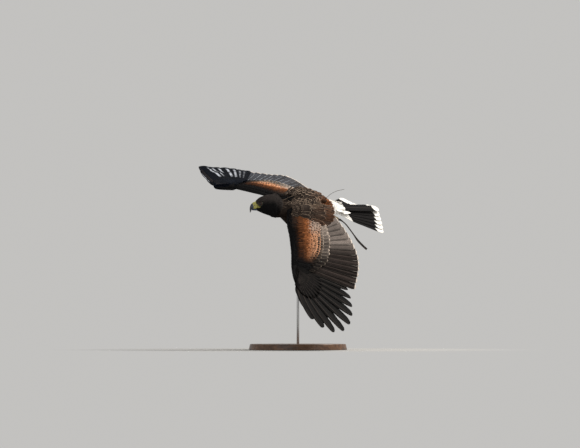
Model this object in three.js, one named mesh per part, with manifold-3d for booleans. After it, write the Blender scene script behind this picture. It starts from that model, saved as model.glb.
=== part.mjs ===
// A Harris hawk in banked flight, life size, as a museum model on a plain display stand.
// Millimetres, +Z up. The bird is built in its own frame, x towards the bill, y to its left,
// z up out of its back, from the point between the shoulders, and then banked and lifted.
import * as THREE from "three";
import { mergeVertices } from "three/addons/utils/BufferGeometryUtils.js";
import Module from "manifold-3d";

const wasm = await Module();
wasm.setup();

// Driving sizes, in millimetres and degrees
const GAP = 0.35; // between meshes that touch
const HEADING = 43; // the way the bird flies, from -X towards -Y
const BANK = 52; // left wing down
const CLIMB = -1.4; // nose up
const SHOULDER_HEIGHT = 420; // of the bird's origin over the floor

// The trunk: x, centre y, centre z, half width, half height
const TRUNK = [
  [64, -16, 10, 25, 26],
  [42, -13, 7, 32, 34],
  [14, -5, 2, 47, 46],
  [-20, 0, -1, 56, 52],
  [-58, 0, 2, 54, 50],
  [-96, 0, 6, 46, 41],
  [-130, 0, 12, 35, 28],
  [-158, 0, 16, 25, 16],
  [-182, 0, 17, 18, 8],
];
const NECK_CUT = 54;
const TAIL_CUT = -154;

// The head is held level while the body banks
const SKULL = new THREE.Vector3(115, -21, 14);
const HEAD_HEADING = 12;
const HEAD_DIP = 10;
const HEAD_TILT = 6;
// Skull sections: x from the skull's centre, centre height, half width, half height
const SKULL_RINGS = [
  [28, -1, 8.5, 10.5],
  [24, 0, 12.5, 14.5],
  [16, 1.5, 17.5, 19.5],
  [6, 3, 21.5, 22.5],
  [-8, 2.5, 25, 25.5],
  [-24, 0, 27, 28],
];
const FACE_CUT = 26.5;
const EYE_PLACE = [13.5, 12.9, 7];
const EYE_RADIUS = 7;

// Each wing: where the wrist is held, the turns of arm and hand, how the primaries fan from
// the last one, how far the first and last stand over the hand's plane, and how they bow
const POSES = {
  left: {
    wrist: [157, 42],
    arm: [17.7, 7.3, -15.9],
    hand: [-32.2, 13.3, 9.6],
    lastAngle: 0.2,
    fan: 83.3,
    fanCurve: 1.52,
    cup: [-8, 10],
    arch: 0.052,
  },
  right: {
    wrist: [161, 53],
    arm: [37.1, 16, -5],
    hand: [14.7, -22.9, -21.8],
    lastAngle: -14.3,
    fan: 29.2,
    fanCurve: 1.77,
    cup: [-30, 0],
    arch: 0.042,
  },
};
const SHOULDER = new THREE.Vector3(8, 42, 20);
const HAND_LENGTH = 78;
const PRIMARY_LENGTHS = [180, 193, 212, 238, 269, 298, 311, 304, 273, 223];
const SECONDARIES = 13;

const RECTRICES = 12;
const TAIL_LENGTH = 224;
const TAIL_FAN = 15.6; // half angle
const TAIL_DOME = 9; // how far its outer feathers slope down
const TAIL_DROOP = 9;
const TAIL_YAW = -6.5;
const TAIL_TWIST = 11; // left side up

const BASE_RADIUS = 150;
const BASE_THICK = 18;
const ROD_RADIUS = 4;
const ROD_PLACE = new THREE.Vector3(-26, 0, -4); // the point of the trunk over the rod

const rad = THREE.MathUtils.degToRad;
const mix = THREE.MathUtils.lerp;
const V = (x, y, z) => new THREE.Vector3(x, y, z);
const SIDES = { left: 1, right: -1 };

const COLOURS = {
  plumage: [0x3a2a20, 0.75],
  rufous: [0x8a4420, 0.8],
  flight: [0x2b211c, 0.6],
  tail: [0x241d1a, 0.6],
  bill: [0x27303a, 0.35],
  eye: [0x4a2a12, 0.1],
  skin: [0xd9b13a, 0.55],
  claw: [0x16130f, 0.3],
  leather: [0x2b2019, 0.7],
  plastic: [0x1a1a1c, 0.4],
  wood: [0x5a3b22, 0.5],
  steel: [0x9a9a98, 0.3],
};
const materials = Object.fromEntries(
  Object.entries(COLOURS).map(([name, [color, roughness]]) => [
    name,
    new THREE.MeshStandardMaterial({ color, roughness, metalness: name === "steel" ? 0.9 : 0 }),
  ]),
);

// Solids

// A closed three.js geometry as a solid, turned right side out
function solid(geometry) {
  const bare = geometry.clone();
  bare.deleteAttribute("normal");
  bare.deleteAttribute("uv");
  const merged = mergeVertices(bare, 1e-4);
  const triVerts = new Uint32Array(merged.index.array);
  const mesh = { numProp: 3, vertProperties: merged.attributes.position.array, triVerts };
  const made = new wasm.Manifold(new wasm.Mesh(mesh));
  if (made.volume() > 0) return made;
  for (let i = 0; i < triVerts.length; i += 3) {
    [triVerts[i + 1], triVerts[i + 2]] = [triVerts[i + 2], triVerts[i + 1]];
  }
  return new wasm.Manifold(new wasm.Mesh(mesh));
}

function solidOf(points, index) {
  const geometry = new THREE.BufferGeometry();
  const places = points.flatMap((p) => p.toArray());
  geometry.setAttribute("position", new THREE.Float32BufferAttribute(places, 3));
  geometry.setIndex(index);
  return solid(geometry);
}

function geometryOf(made) {
  const mesh = made.getMesh();
  const geometry = new THREE.BufferGeometry();
  geometry.setAttribute("position", new THREE.BufferAttribute(mesh.vertProperties.slice(), 3));
  geometry.setIndex(new THREE.BufferAttribute(mesh.triVerts.slice(), 1));
  geometry.computeVertexNormals();
  return geometry;
}

// The largest closed surface of a solid, which drops scraps and fills sealed hollows
function largest(made) {
  return made.decompose().reduce((a, b) => (b.volume() > a.volume() ? b : a));
}

function join(pieces) {
  return pieces.reduce((a, b) => a.add(b));
}

// A closed skin over rings of points, each ring with the same count
function loft(rings) {
  const count = rings[0].length;
  const middle = (ring) => ring.reduce((a, p) => a.add(p), V(0, 0, 0)).divideScalar(count);
  const points = [...rings.flat(), middle(rings[0]), middle(rings.at(-1))];
  const index = [];
  for (let r = 0; r + 1 < rings.length; r++) {
    for (let i = 0; i < count; i++) {
      const a = r * count + i;
      const b = r * count + ((i + 1) % count);
      index.push(a, b, b + count, a, b + count, a + count);
    }
  }
  const last = (rings.length - 1) * count;
  for (let i = 0; i < count; i++) {
    const j = (i + 1) % count;
    index.push(points.length - 2, j, i, points.length - 1, last + i, last + j);
  }
  return solidOf(points, index);
}

// An oval ring round a centre, in the plane of two unit vectors
function oval(centre, across, up, halfWidth, halfHeight, count = 18) {
  return Array.from({ length: count }, (_, i) => {
    const angle = (i * 2 * Math.PI) / count;
    return centre
      .clone()
      .addScaledVector(across, halfWidth * Math.cos(angle))
      .addScaledVector(up, halfHeight * Math.sin(angle));
  });
}

// The unit direction of a line of points at one of them
function directionAt(points, i) {
  const next = points[Math.min(i + 1, points.length - 1)];
  return next.clone().sub(points[Math.max(i - 1, 0)]).normalize();
}

// A round limb through points, with a radius at each
function limb(points, radii, count = 10) {
  return loft(
    points.map((p, i) => {
      const along = directionAt(points, i);
      const across = V(0, 1, 0).addScaledVector(along, -along.y).normalize();
      return oval(p, across, along.clone().cross(across), radii[i], radii[i], count);
    }),
  );
}

// A flat strap through points, with its width along the given direction
function strap(points, wide, width, thick) {
  return loft(
    points.map((p, i) => {
      const along = directionAt(points, i);
      const across = wide.clone().addScaledVector(along, -along.dot(wide)).normalize();
      const out = along.clone().cross(across);
      const corner = (a, b) =>
        p
          .clone()
          .addScaledVector(across, (a * width) / 2)
          .addScaledVector(out, (b * thick) / 2);
      return [corner(-1, -1), corner(1, -1), corner(1, 1), corner(-1, 1)];
    }),
  );
}

// A thin plate over rows, each with its outer and inner edge and half its thickness as a
// vector. Both faces are split along the same diagonals, so that a curved plate stays open.
function plate(rows) {
  const points = rows.flatMap(({ outer, inner, half }) => [
    outer.clone().add(half),
    inner.clone().add(half),
    inner.clone().sub(half),
    outer.clone().sub(half),
  ]);
  const index = [1, 0, 3, 1, 3, 2];
  for (let a = 0; a + 4 < points.length; a += 4) {
    const [b, c, d, e, f, g, h] = [a + 1, a + 2, a + 3, a + 4, a + 5, a + 6, a + 7];
    index.push(a, b, f, a, f, e, d, g, c, d, h, g, a, e, h, a, h, d, b, c, g, b, g, f);
  }
  const end = points.length - 4;
  index.push(end, end + 1, end + 2, end, end + 2, end + 3);
  return solidOf(points, index);
}

// Share of the length and of the width at each row of a vane, rounded off past blunt
const LONG_ROWS = (blunt) => [
  [0, 0.3],
  [0.42, 1],
  [blunt, 1],
  [mix(blunt, 1, 0.66), 0.8],
  [1, 0.34],
];
const TAIL_ROWS = (blunt) => [
  [0, 0.25],
  [0.45, 1],
  [blunt, 1],
  [1, 0.5],
];
const SHORT_ROWS = (blunt) => [
  [0, 0.5],
  [blunt, 1],
  [1, 0.4],
];

// One feather: a thin curved vane along its shaft, narrow at its root and round at its tip.
// lead points to its outer edge, which is lifted over the next feather, and up out of its
// upper face. arch bows it in its own plane and bend out of it, as shares of its length.
function vane({ root, tip, up, lead, outer, inner, roll = 6, bend = 0, arch = 0, blunt = 0.84, rows = LONG_ROWS }) {
  const along = tip.clone().sub(root);
  const length = along.length();
  along.normalize();
  const side = lead.clone().addScaledVector(along, -lead.dot(along)).normalize();
  const face = along.clone().cross(side);
  if (face.dot(up) < 0) face.negate();
  const across = side.clone().multiplyScalar(Math.cos(rad(roll))).addScaledVector(face, Math.sin(rad(roll)));
  const out = face.clone().addScaledVector(across, -face.dot(across)).normalize();
  return plate(
    rows(blunt).map(([t, width]) => {
      const hump = Math.sin(Math.PI * t) * length;
      const middle = root
        .clone()
        .addScaledVector(along, length * t)
        .addScaledVector(face, bend * hump)
        .addScaledVector(side, arch * hump);
      return {
        outer: middle.clone().addScaledVector(across, outer * width),
        inner: middle.clone().addScaledVector(across, -inner * width),
        half: out.clone().multiplyScalar(mix(0.55, 0.3, t)),
      };
    }),
  );
}

const FAR = 900;

// The half space on the side of a plane that its normal points to
function beyond(point, normal, offset = 0) {
  const unit = normal.clone().normalize();
  const box = new THREE.BoxGeometry(FAR, FAR, FAR);
  box.translate(FAR / 2 + offset, 0, 0);
  box.applyQuaternion(new THREE.Quaternion().setFromUnitVectors(V(1, 0, 0), unit));
  box.translate(point.x, point.y, point.z);
  return solid(box);
}
const ahead = (x) => beyond(V(x, 0, 0), V(1, 0, 0));
const behind = (x) => beyond(V(x, 0, 0), V(-1, 0, 0));

// Frames

// A right-handed frame that faces a heading from -X towards -Y, climbs and rolls left side down
function facing(heading, climb, roll) {
  const forward = V(-Math.cos(rad(heading)), -Math.sin(rad(heading)), Math.tan(rad(climb))).normalize();
  const level = V(0, 0, 1).cross(forward).normalize();
  const up = forward.clone().cross(level);
  const left = level.multiplyScalar(Math.cos(rad(roll))).addScaledVector(up, -Math.sin(rad(roll)));
  return new THREE.Matrix4().makeBasis(forward, left, forward.clone().cross(left));
}

const birdTurn = facing(HEADING, CLIMB, BANK);
const headTurn = birdTurn.clone().invert().multiply(facing(HEAD_HEADING, -HEAD_DIP, HEAD_TILT));
const inHead = (x, y, z) => V(x, y, z).applyMatrix4(headTurn).add(SKULL);
const headFront = V(1, 0, 0).applyMatrix4(headTurn);
const headSide = V(0, 1, 0).applyMatrix4(headTurn);
const headUp = V(0, 0, 1).applyMatrix4(headTurn);
const headOval = (x, z, w, h, count) => oval(inHead(x, 0, z), headSide, headUp, w, h, count);

// Head, neck and trunk: one skin over the skull, two rings of neck and the trunk
const BODY_SIDES = 18;

function neckRings(grow) {
  const [x, y, z, w, h] = TRUNK[0];
  const [skullX, skullZ, skullW, skullH] = SKULL_RINGS.at(-1);
  return [0.34, 0.67].map((t) => {
    const centre = inHead(skullX, 0, skullZ).lerp(V(x, y, z), t);
    const across = headSide.clone().lerp(V(0, 1, 0), t).normalize();
    const up = headUp.clone().lerp(V(0, 0, 1), t);
    up.addScaledVector(across, -up.dot(across)).normalize();
    return oval(centre, across, up, mix(skullW, w, t) + grow, mix(skullH, h, t) + grow, BODY_SIDES);
  });
}

function wholeBody(grow = 0) {
  const skull = SKULL_RINGS.map(([x, z, w, h]) => headOval(x, z, w + grow, h + grow, BODY_SIDES));
  const trunk = TRUNK.map(([x, y, z, w, h]) =>
    oval(V(x, y, z), V(0, 1, 0), V(0, 0, 1), w + grow, h + grow, BODY_SIDES),
  );
  return loft([...skull, ...neckRings(grow), ...trunk]);
}

// The height of the back over a place on the trunk
function backAt(x, y) {
  const next = Math.max(1, TRUNK.findIndex((ring) => ring[0] < x));
  const [a, b] = [TRUNK[next - 1], TRUNK[next]];
  const [, centreY, centreZ, w, h] = a.map((value, i) => mix(value, b[i], (a[0] - x) / (a[0] - b[0])));
  return centreZ + h * Math.sqrt(Math.max(0, 1 - ((y - centreY) / w) ** 2));
}

const body = wholeBody();
const bodyGrown = wholeBody(GAP);

// Bill, eyes and head

// x, centre height, half width and half height along the upper bill to its hook
const UPPER_BILL = [
  [20, 2, 10, 12],
  [28, 2.6, 8.8, 11],
  [35, 1.4, 7.4, 10.4],
  [41, -1.8, 5.6, 9.2],
  [45, -6.6, 3.7, 7],
  [46.8, -12, 2, 4.4],
  [46.2, -17.4, 0.5, 1.4],
];
const LOWER_BILL = [
  [18, -9.6, 8, 4.6],
  [27, -9.4, 6.6, 3.9],
  [34, -9, 4.8, 2.9],
  [39, -8.6, 2.8, 2],
];
const MOUTH_HEIGHT = -6;
const HOOK_START = 40.5; // the lower bill ends behind the hook
const MOUTH_OPENING = 0.6;

function eyeBall(sign, grow = 0) {
  const ball = new THREE.SphereGeometry(EYE_RADIUS + grow, 14, 9);
  const centre = inHead(EYE_PLACE[0], sign * EYE_PLACE[1], EYE_PLACE[2]);
  ball.translate(centre.x, centre.y, centre.z);
  return solid(ball);
}

// The lids: a low rim round the eye, which faces outwards and a little ahead
function lids(sign) {
  const normal = V(0.35, sign, 0.12).applyMatrix4(headTurn).normalize();
  const centre = inHead(EYE_PLACE[0], sign * EYE_PLACE[1], EYE_PLACE[2]);
  const across = headUp.clone().cross(normal).normalize();
  const up = normal.clone().cross(across);
  const ring = (out, size) => oval(centre.clone().addScaledVector(normal, out), across, up, size, size * 0.94, 12);
  return loft([ring(-2, 8.6), ring(3.4, 8.2), ring(4.8, 6.6)]);
}

// The bony brow that shades a hawk's eye, from the lores back over it
function brow(sign) {
  const spine = [
    [24, 8.4, 9],
    [18, 13.2, 13],
    [10, 16.4, 15],
    [2, 17.6, 14.6],
  ];
  return limb(
    spine.map(([x, y, z]) => inHead(x, sign * y, z)),
    [1.6, 3, 3.2, 1.4],
    8,
  );
}

function nostril(sign) {
  const hole = new THREE.SphereGeometry(1.7, 8, 6);
  const place = inHead(31.5, sign * 8.6, 4.4);
  hole.translate(place.x, place.y, place.z);
  return solid(hole);
}

function headParts() {
  const nape = inHead(-14, 0, 0);
  const napeNormal = V(1, 0, -0.25).applyMatrix4(headTurn);
  const upperSide = beyond(inHead(0, 0, MOUTH_HEIGHT + MOUTH_OPENING / 2), headUp);
  const lowerSide = beyond(inHead(0, 0, MOUTH_HEIGHT - MOUTH_OPENING / 2), headUp.clone().negate());
  const face = (offset) => beyond(inHead(FACE_CUT, 0, 0), headFront, offset);
  const tube = (rings) => loft(rings.map((ring) => headOval(...ring, 12)));
  // the corner of the mouth runs back under the eye
  const gape = loft(
    [
      [9, 22, MOUTH_OPENING / 2],
      [FACE_CUT + 4, 14, MOUTH_OPENING / 2],
    ].map(([x, w, h]) => headOval(x, MOUTH_HEIGHT, w, h, 8)),
  );
  const palate = loft([headOval(0, MOUTH_HEIGHT, 12, 3, 8), headOval(FACE_CUT, MOUTH_HEIGHT, 5, 3, 8)]);
  let head = body.intersect(beyond(nape, napeNormal)).subtract(face(0));
  for (const sign of [1, -1]) head = head.add(brow(sign)).add(lids(sign));
  head = head.subtract(face(0)).subtract(gape.subtract(palate));
  for (const sign of [1, -1]) head = head.subtract(eyeBall(sign, GAP));
  // the hook hangs down in front of the lower bill
  const hook = beyond(inHead(HOOK_START, 0, 0), headFront);
  const upper = tube(UPPER_BILL).intersect(upperSide.add(hook)).intersect(face(GAP));
  return {
    head,
    neck: body.subtract(beyond(nape, napeNormal, -GAP)).intersect(ahead(NECK_CUT)),
    bill_upper: upper.subtract(nostril(1)).subtract(nostril(-1)),
    bill_lower: tube(LOWER_BILL).intersect(lowerSide).intersect(face(GAP)).subtract(tube(UPPER_BILL).intersect(hook)),
    eye_left: eyeBall(1),
    eye_right: eyeBall(-1),
  };
}

// Wings

// The turn of a wing part: its tip down, its tip forward, its leading edge up
function wingTurn([depress, sweep, twist]) {
  const down = new THREE.Matrix4().makeRotationY(rad(depress));
  const forward = new THREE.Matrix4().makeRotationZ(rad(sweep));
  const lift = new THREE.Matrix4().makeRotationX(rad(twist));
  return down.multiply(forward).multiply(lift);
}

// The frame of one wing: arm and hand take outward, forward and upward sizes to the bird's frame
function wingFrame(side) {
  const pose = POSES[side];
  const sign = SIDES[side];
  const armTurn = wingTurn(pose.arm);
  const handTurn = armTurn.clone().multiply(wingTurn(pose.hand));
  const toBird = (v) => V(v.y, sign * v.x, v.z);
  const shoulder = V(SHOULDER.x, sign * SHOULDER.y, SHOULDER.z);
  const armDir = (o, f, u = 0) => toBird(V(o, f, u).applyMatrix4(armTurn));
  const handDir = (o, f, u = 0) => toBird(V(o, f, u).applyMatrix4(handTurn));
  const armAt = (o, f, u = 0) => armDir(o, f, u).add(shoulder);
  const wrist = armAt(...pose.wrist);
  const handAt = (o, f, u = 0) => handDir(o, f, u).add(wrist);
  return { side, sign, pose, armAt, handAt, armDir, handDir };
}

// A wing section from its leading edge back: blunt in front, thin behind
function wingRing(at, place, lead, chord, thick) {
  const outline = [
    [0, 0],
    [0.07, 0.52],
    [0.26, 0.88],
    [0.62, 0.62],
    [1, 0.05],
    [0.6, -0.24],
    [0.25, -0.5],
    [0.07, -0.38],
  ];
  return outline.map(([back, up]) => at(place, lead - back * chord, up * thick));
}

// Flesh and lesser coverts of the arm, out to the wrist
function armCore({ armAt, pose }) {
  const [reach, wristLead] = pose.wrist;
  // share of the way to the wrist, leading edge ahead of the line to it, chord and thickness
  const sections = [
    [-0.2, 44, 146, 27],
    [0.05, 42, 140, 26],
    [0.4, 27, 112, 19],
    [0.75, 16, 94, 15],
    [1.02, 14, 70, 12],
    [1.09, 10, 56, 10],
  ];
  return loft(
    sections.map(([t, lead, chord, thick]) => wingRing(armAt, t * reach, lead + t * wristLead, chord, thick)),
  );
}

function handCore({ handAt }) {
  const sections = [
    [-14, 13, 60, 12],
    [4, 16, 60, 11.5],
    [28, 16, 50, 9],
    [54, 14, 36, 7],
    [HAND_LENGTH, 10, 22, 5],
    [HAND_LENGTH + 18, 6, 9, 3],
  ];
  return loft(sections.map(([o, lead, chord, thick]) => wingRing(handAt, o, lead, chord, thick)));
}

// The root and tip of a secondary, from the first at the wrist (0) to the inmost tertial (1)
function secondaryLine({ armAt, pose }, t) {
  const [reach, wristLead] = pose.wrist;
  const root = armAt(mix(reach - 8, 40, t), mix(wristLead - 14, -30, t));
  const span = mix(reach + 67, 6, Math.pow(t, 0.95));
  const tip = armAt(span, mix(-150, -126, t) - 32 * Math.sin(Math.PI * t), mix(-3, 4, t));
  return [root, tip];
}

function secondaries(frame) {
  const up = frame.armDir(0, 0, 1);
  const lead = frame.armDir(1, 0, 0);
  return Array.from({ length: SECONDARIES }, (_, i) => {
    const [root, tip] = secondaryLine(frame, i / (SECONDARIES - 1));
    return vane({ root, tip, up, lead, outer: 9, inner: 18, bend: 0.02 });
  });
}

// A tier of coverts over the secondaries: where it starts and ends on them, and how high
function secondaryCoverts(frame, count, start, end, low, high, width) {
  const up = frame.armDir(0, 0, 1);
  const lead = frame.armDir(1, 0, 0);
  return Array.from({ length: count }, (_, i) => {
    const [root, tip] = secondaryLine(frame, 0.02 + (0.94 * i) / (count - 1));
    return vane({
      root: root.clone().lerp(tip, start).addScaledVector(up, low),
      tip: root.clone().lerp(tip, end).addScaledVector(up, high),
      up,
      lead,
      outer: width * 0.45,
      inner: width * 0.55,
      blunt: 0.72,
      rows: SHORT_ROWS,
    });
  });
}

function primaryLine({ handAt, pose }, i) {
  const t = i / (PRIMARY_LENGTHS.length - 1);
  const angle = rad(pose.lastAngle - pose.fan * Math.pow(1 - t, pose.fanCurve));
  const reach = PRIMARY_LENGTHS[i];
  const root = handAt(mix(2, HAND_LENGTH - 4, t), mix(-6, 6, t));
  const height = mix(pose.cup[0], pose.cup[1], t);
  const tip = handAt(reach * Math.cos(angle), reach * Math.sin(angle) + 6 * t, height);
  return { t, angle, root, tip };
}

function primaries(frame) {
  const up = frame.handDir(0, 0, 1);
  return PRIMARY_LENGTHS.map((_, i) => {
    const { t, angle, root, tip } = primaryLine(frame, i);
    const lead = frame.handDir(-Math.sin(angle), Math.cos(angle));
    const inner = mix(30, 30, t) + 13 * Math.sin(Math.PI * t);
    const arch = mix(0.02, frame.pose.arch, t);
    return vane({ root, tip, up, lead, outer: 10, inner, bend: 0.02, arch, blunt: mix(0.93, 0.76, t) });
  });
}

function primaryCoverts(frame) {
  const up = frame.handDir(0, 0, 1);
  return PRIMARY_LENGTHS.slice(0, -1).map((_, i) => {
    const { t, angle, root, tip } = primaryLine(frame, i);
    const lead = frame.handDir(-Math.sin(angle), Math.cos(angle));
    return vane({
      root: root.clone().lerp(tip, 0.02).addScaledVector(up, 2.6),
      tip: root.clone().lerp(tip, mix(0.42, 0.34, t)).addScaledVector(up, 5),
      up,
      lead,
      outer: 7,
      inner: 11,
      blunt: 0.74,
      rows: SHORT_ROWS,
    });
  });
}

// The three feathers of the thumb, over the leading edge
function alula({ handAt, handDir }) {
  return [0, 1, 2].map((i) =>
    vane({
      root: handAt(-3 + i, 7 - 3 * i, 2 + i),
      tip: handAt(76 - 15 * i, 6 - 7 * i, 7 + 1.6 * i),
      up: handDir(0, 0, 1),
      lead: handDir(0, 1, 0),
      outer: 5,
      inner: 9,
      blunt: 0.7,
      rows: SHORT_ROWS,
    }),
  );
}

// The scapulars lie back from the shoulder over the side of the back
function scapulars({ sign }) {
  return Array.from({ length: 6 }, (_, i) => {
    const t = i / 5;
    const y = mix(56, 24, t);
    const rootX = mix(0, 12, t);
    const tipX = mix(-116, -70, t);
    return vane({
      root: V(rootX, sign * mix(52, 40, t), mix(30, 33, t)),
      tip: V(tipX, sign * y * 0.94, backAt(tipX, Math.min(y, 34)) + mix(2, 6, t)),
      up: V(0, 0, 1),
      lead: V(0, sign, 0),
      outer: 11,
      inner: 13,
      roll: -5,
      bend: mix(0.05, 0.09, t),
      blunt: 0.74,
    });
  });
}

function wing(side, rodHole) {
  const frame = wingFrame(side);
  // the parting runs through the wrist, between the last primary and the first secondary
  const angle = rad(frame.pose.lastAngle - frame.pose.fan - 3);
  const point = frame.handAt(-3, 0);
  const normal = frame.handDir(-Math.sin(angle), Math.cos(angle));
  const arm = join([
    armCore(frame),
    ...secondaries(frame),
    ...secondaryCoverts(frame, 11, 0.04, 0.54, 3.4, 4.2, 24),
    ...secondaryCoverts(frame, 8, 0.02, 0.36, 6.4, 8, 26),
    ...scapulars(frame),
  ]);
  const hand = join([handCore(frame), ...primaries(frame), ...primaryCoverts(frame), ...alula(frame)]);
  const whole = arm.add(hand).subtract(bodyGrown).subtract(rodHole);
  return {
    arm: largest(whole.intersect(beyond(point, normal.clone().negate()))),
    hand: largest(whole.intersect(beyond(point, normal, GAP))),
  };
}

// Tail

const tailTurn = new THREE.Matrix4()
  .makeRotationZ(rad(TAIL_YAW))
  .multiply(new THREE.Matrix4().makeRotationY(rad(TAIL_DROOP)))
  .multiply(new THREE.Matrix4().makeRotationX(rad(TAIL_TWIST)));
const TAIL_ROOT = V(-156, 0, 16);

// A direction or place in the tail: back along it, to its left, and up
function tailDir(back, left, up) {
  const v = V(back, left, up).applyMatrix4(tailTurn);
  return V(-v.x, v.y, v.z);
}
const tailAt = (back, left, up) => tailDir(back, left, up).add(TAIL_ROOT);

// Rectrices from the right edge of the tail (-1) to the left (1); the middle pair is on top
function rectrix(i) {
  const place = (i - (RECTRICES - 1) / 2) / ((RECTRICES - 1) / 2);
  const out = Math.abs(place);
  const angle = rad(TAIL_FAN * place);
  const reach = TAIL_LENGTH - 9 * out * out;
  const drop = reach * Math.sin(rad(TAIL_DOME * out));
  const middle = out < 0.1;
  const level = middle ? 2.4 * (place > 0) : -7 * out;
  return vane({
    root: tailAt(0, place * 12, level * 0.8),
    tip: tailAt(reach * Math.cos(angle), reach * Math.sin(angle) + place * 12, level - drop),
    up: tailDir(0, 0, 1),
    lead: tailDir(0, place < 0 ? -1 : 1, 0),
    outer: middle ? 12 : 10,
    inner: middle ? 12 : 17,
    roll: middle ? 0 : 5,
    bend: 0.012,
    blunt: 0.93,
    rows: TAIL_ROWS,
  });
}

// Coverts over or under the root of the tail
function tailCoverts(count, reach, spread, height, face) {
  return Array.from({ length: count }, (_, i) => {
    const place = (2 * i) / (count - 1) - 1;
    const out = Math.abs(place);
    return vane({
      root: tailAt(6, place * 12, height - face * 3 * out),
      tip: tailAt(reach * (1 - 0.14 * out), place * spread, height - face * (1 + 5 * out)),
      up: tailDir(0, 0, face),
      lead: tailDir(0, place < 0 ? -1 : 1, 0),
      outer: 9,
      inner: 10,
      roll: 4,
      blunt: 0.7,
      rows: SHORT_ROWS,
    });
  });
}

function tail() {
  const rump = body.intersect(behind(TAIL_CUT - GAP));
  const feathers = Array.from({ length: RECTRICES }, (_, i) => rectrix(i));
  const coverts = [...tailCoverts(7, 70, 30, 9, 1), ...tailCoverts(5, 92, 24, -6.5, -1)];
  return join([rump, ...feathers, ...coverts]).intersect(behind(TAIL_CUT - GAP));
}

// Legs, folded back under the tail

const SHANK_START = [-106, 26, -40];
const THIGH_END = [-124, 23.5, -34];
const ANKLE = [-164, 9, -15.5];
const CUFF = { x: -132, length: 11, inner: 5.6, outer: 7.4 };

const onSide = (sign, [x, y, z]) => V(x, sign * y, z);

function thigh(sign) {
  const spine = [[-52, 28, -34], [-68, 29, -40], [-88, 28, -42], SHANK_START, THIGH_END];
  return limb(
    spine.map((point) => onSide(sign, point)),
    [22, 21, 17, 12, 7],
    12,
  );
}

// The bare shank runs from inside the thigh to the ankle
const shankAt = (sign, t) => onSide(sign, SHANK_START).lerp(onSide(sign, ANKLE), t);

const TOES = [
  { name: "inner", turn: -4, length: 27, claw: 17 },
  { name: "middle", turn: 8, length: 38, claw: 14 },
  { name: "outer", turn: 22, length: 29, claw: 12 },
  { name: "hind", turn: 176, length: 13, claw: 19 },
];

// One toe with its claw, curled under the foot
function toe(sign, { turn, length, claw }) {
  const along = V(-Math.cos(rad(turn)), sign * Math.sin(rad(turn)), -0.1).normalize();
  const hind = Math.abs(turn) > 90;
  const from = onSide(sign, ANKLE).add(V(hind ? 5 : -2, 0, -1));
  const p = (ahead, drop) => from.clone().addScaledVector(along, ahead).add(V(0, 0, -drop));
  return {
    toe: limb([p(0, 0), p(length * 0.5, 0), p(length * 0.85, 3), p(length, 8)], [4.4, 3.9, 3.6, 3.2], 8),
    claw: limb(
      [
        p(length, 8.6),
        p(length + claw * 0.3, 12),
        p(length + claw * 0.3, 12 + claw * 0.45),
        p(length - claw * 0.02, 12 + claw * 0.8),
      ],
      [2.8, 2.3, 1.5, 0.4],
      7,
    ),
    knuckle: limb([p(length - 2.5, 6.5), p(length + 2.4, 9.6)], [5, 5], 6),
  };
}

function legParts(side, rodHole) {
  const sign = SIDES[side];
  const toes = TOES.map((row) => ({ name: row.name, ...toe(sign, row) }));
  const shank = limb([0, 0.35, 0.7, 1.04].map((t) => shankAt(sign, t)), [5, 4.6, 4.6, 5.4], 10);
  const [ankleX, ankleY, ankleZ] = ANKLE;
  const palm = limb([V(ankleX + 6, sign * ankleY, ankleZ), V(ankleX - 5, sign * ankleY, ankleZ - 1.5)], [4.6, 5.2], 10);
  const thighSolid = thigh(sign).subtract(bodyGrown).subtract(rodHole);
  const thighEnd = onSide(sign, THIGH_END);
  const shankLine = onSide(sign, ANKLE).sub(thighEnd).normalize();
  let foot = join([shank, palm, ...toes.map((part) => part.toe)]);
  foot = foot.intersect(beyond(thighEnd, shankLine, GAP));
  const parts = { [`thigh_${side}`]: thighSolid.subtract(beyond(thighEnd, shankLine)) };
  for (const part of toes) {
    foot = foot.subtract(part.claw);
    parts[`claw_${side}_${part.name}`] = part.claw.subtract(part.knuckle);
  }
  parts[`foot_${side}`] = foot;
  return parts;
}

// Leather cuff and strap on each leg

function cuff(sign) {
  const line = onSide(sign, ANKLE).sub(onSide(sign, SHANK_START)).normalize();
  const middle = shankAt(sign, (CUFF.x - SHANK_START[0]) / (ANKLE[0] - SHANK_START[0]));
  const ends = [-0.5, 0.5].map((share) => middle.clone().addScaledVector(line, share * CUFF.length));
  const bore = [-0.7, 0.7].map((share) => middle.clone().addScaledVector(line, share * CUFF.length));
  return limb(ends, [CUFF.outer, CUFF.outer], 12).subtract(limb(bore, [CUFF.inner, CUFF.inner], 12));
}

// The route of each strap in the bird's frame: the left one is blown out, the right one
// trails under the tail
const JESS_ROUTES = {
  left: [
    [-132, 30.4, -30.5],
    [-148, 31, -24],
    [-166, 29, -13],
    [-180, 28.5, -7],
    [-190, 34.5, -6.5],
    [-204, 47.6, -10],
    [-226, 72.4, -22.5],
    [-244, 90.8, -34],
    [-262, 105.5, -42],
    [-276, 116.2, -47],
  ],
  right: [
    [-132, 30.4, -30.5],
    [-150, 31, -28],
    [-170, 33, -27],
    [-194, 38, -31],
    [-220, 44, -38],
    [-246, 50, -46],
    [-268, 54, -54],
  ],
};
const JESS_WIDTH = 6.5;
const JESS_THICK = 1.6;

function jess(side) {
  const sign = SIDES[side];
  const curve = new THREE.CatmullRomCurve3(JESS_ROUTES[side].map(([x, y, z]) => V(x, sign * y, z)));
  return strap(curve.getPoints(14), V(0, -0.4 * sign, 1), JESS_WIDTH, JESS_THICK);
}

// A small radio on the back with a whip aerial, blown back

const TRACKER = { x: -97, length: 24, width: 13, height: 8 };
const AERIAL_ROUTE = [
  [-4, 2],
  [-3, 16],
  [2, 33],
  [14, 46],
  [42, 54],
];
const AERIAL_RADIUS = 0.6;

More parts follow.
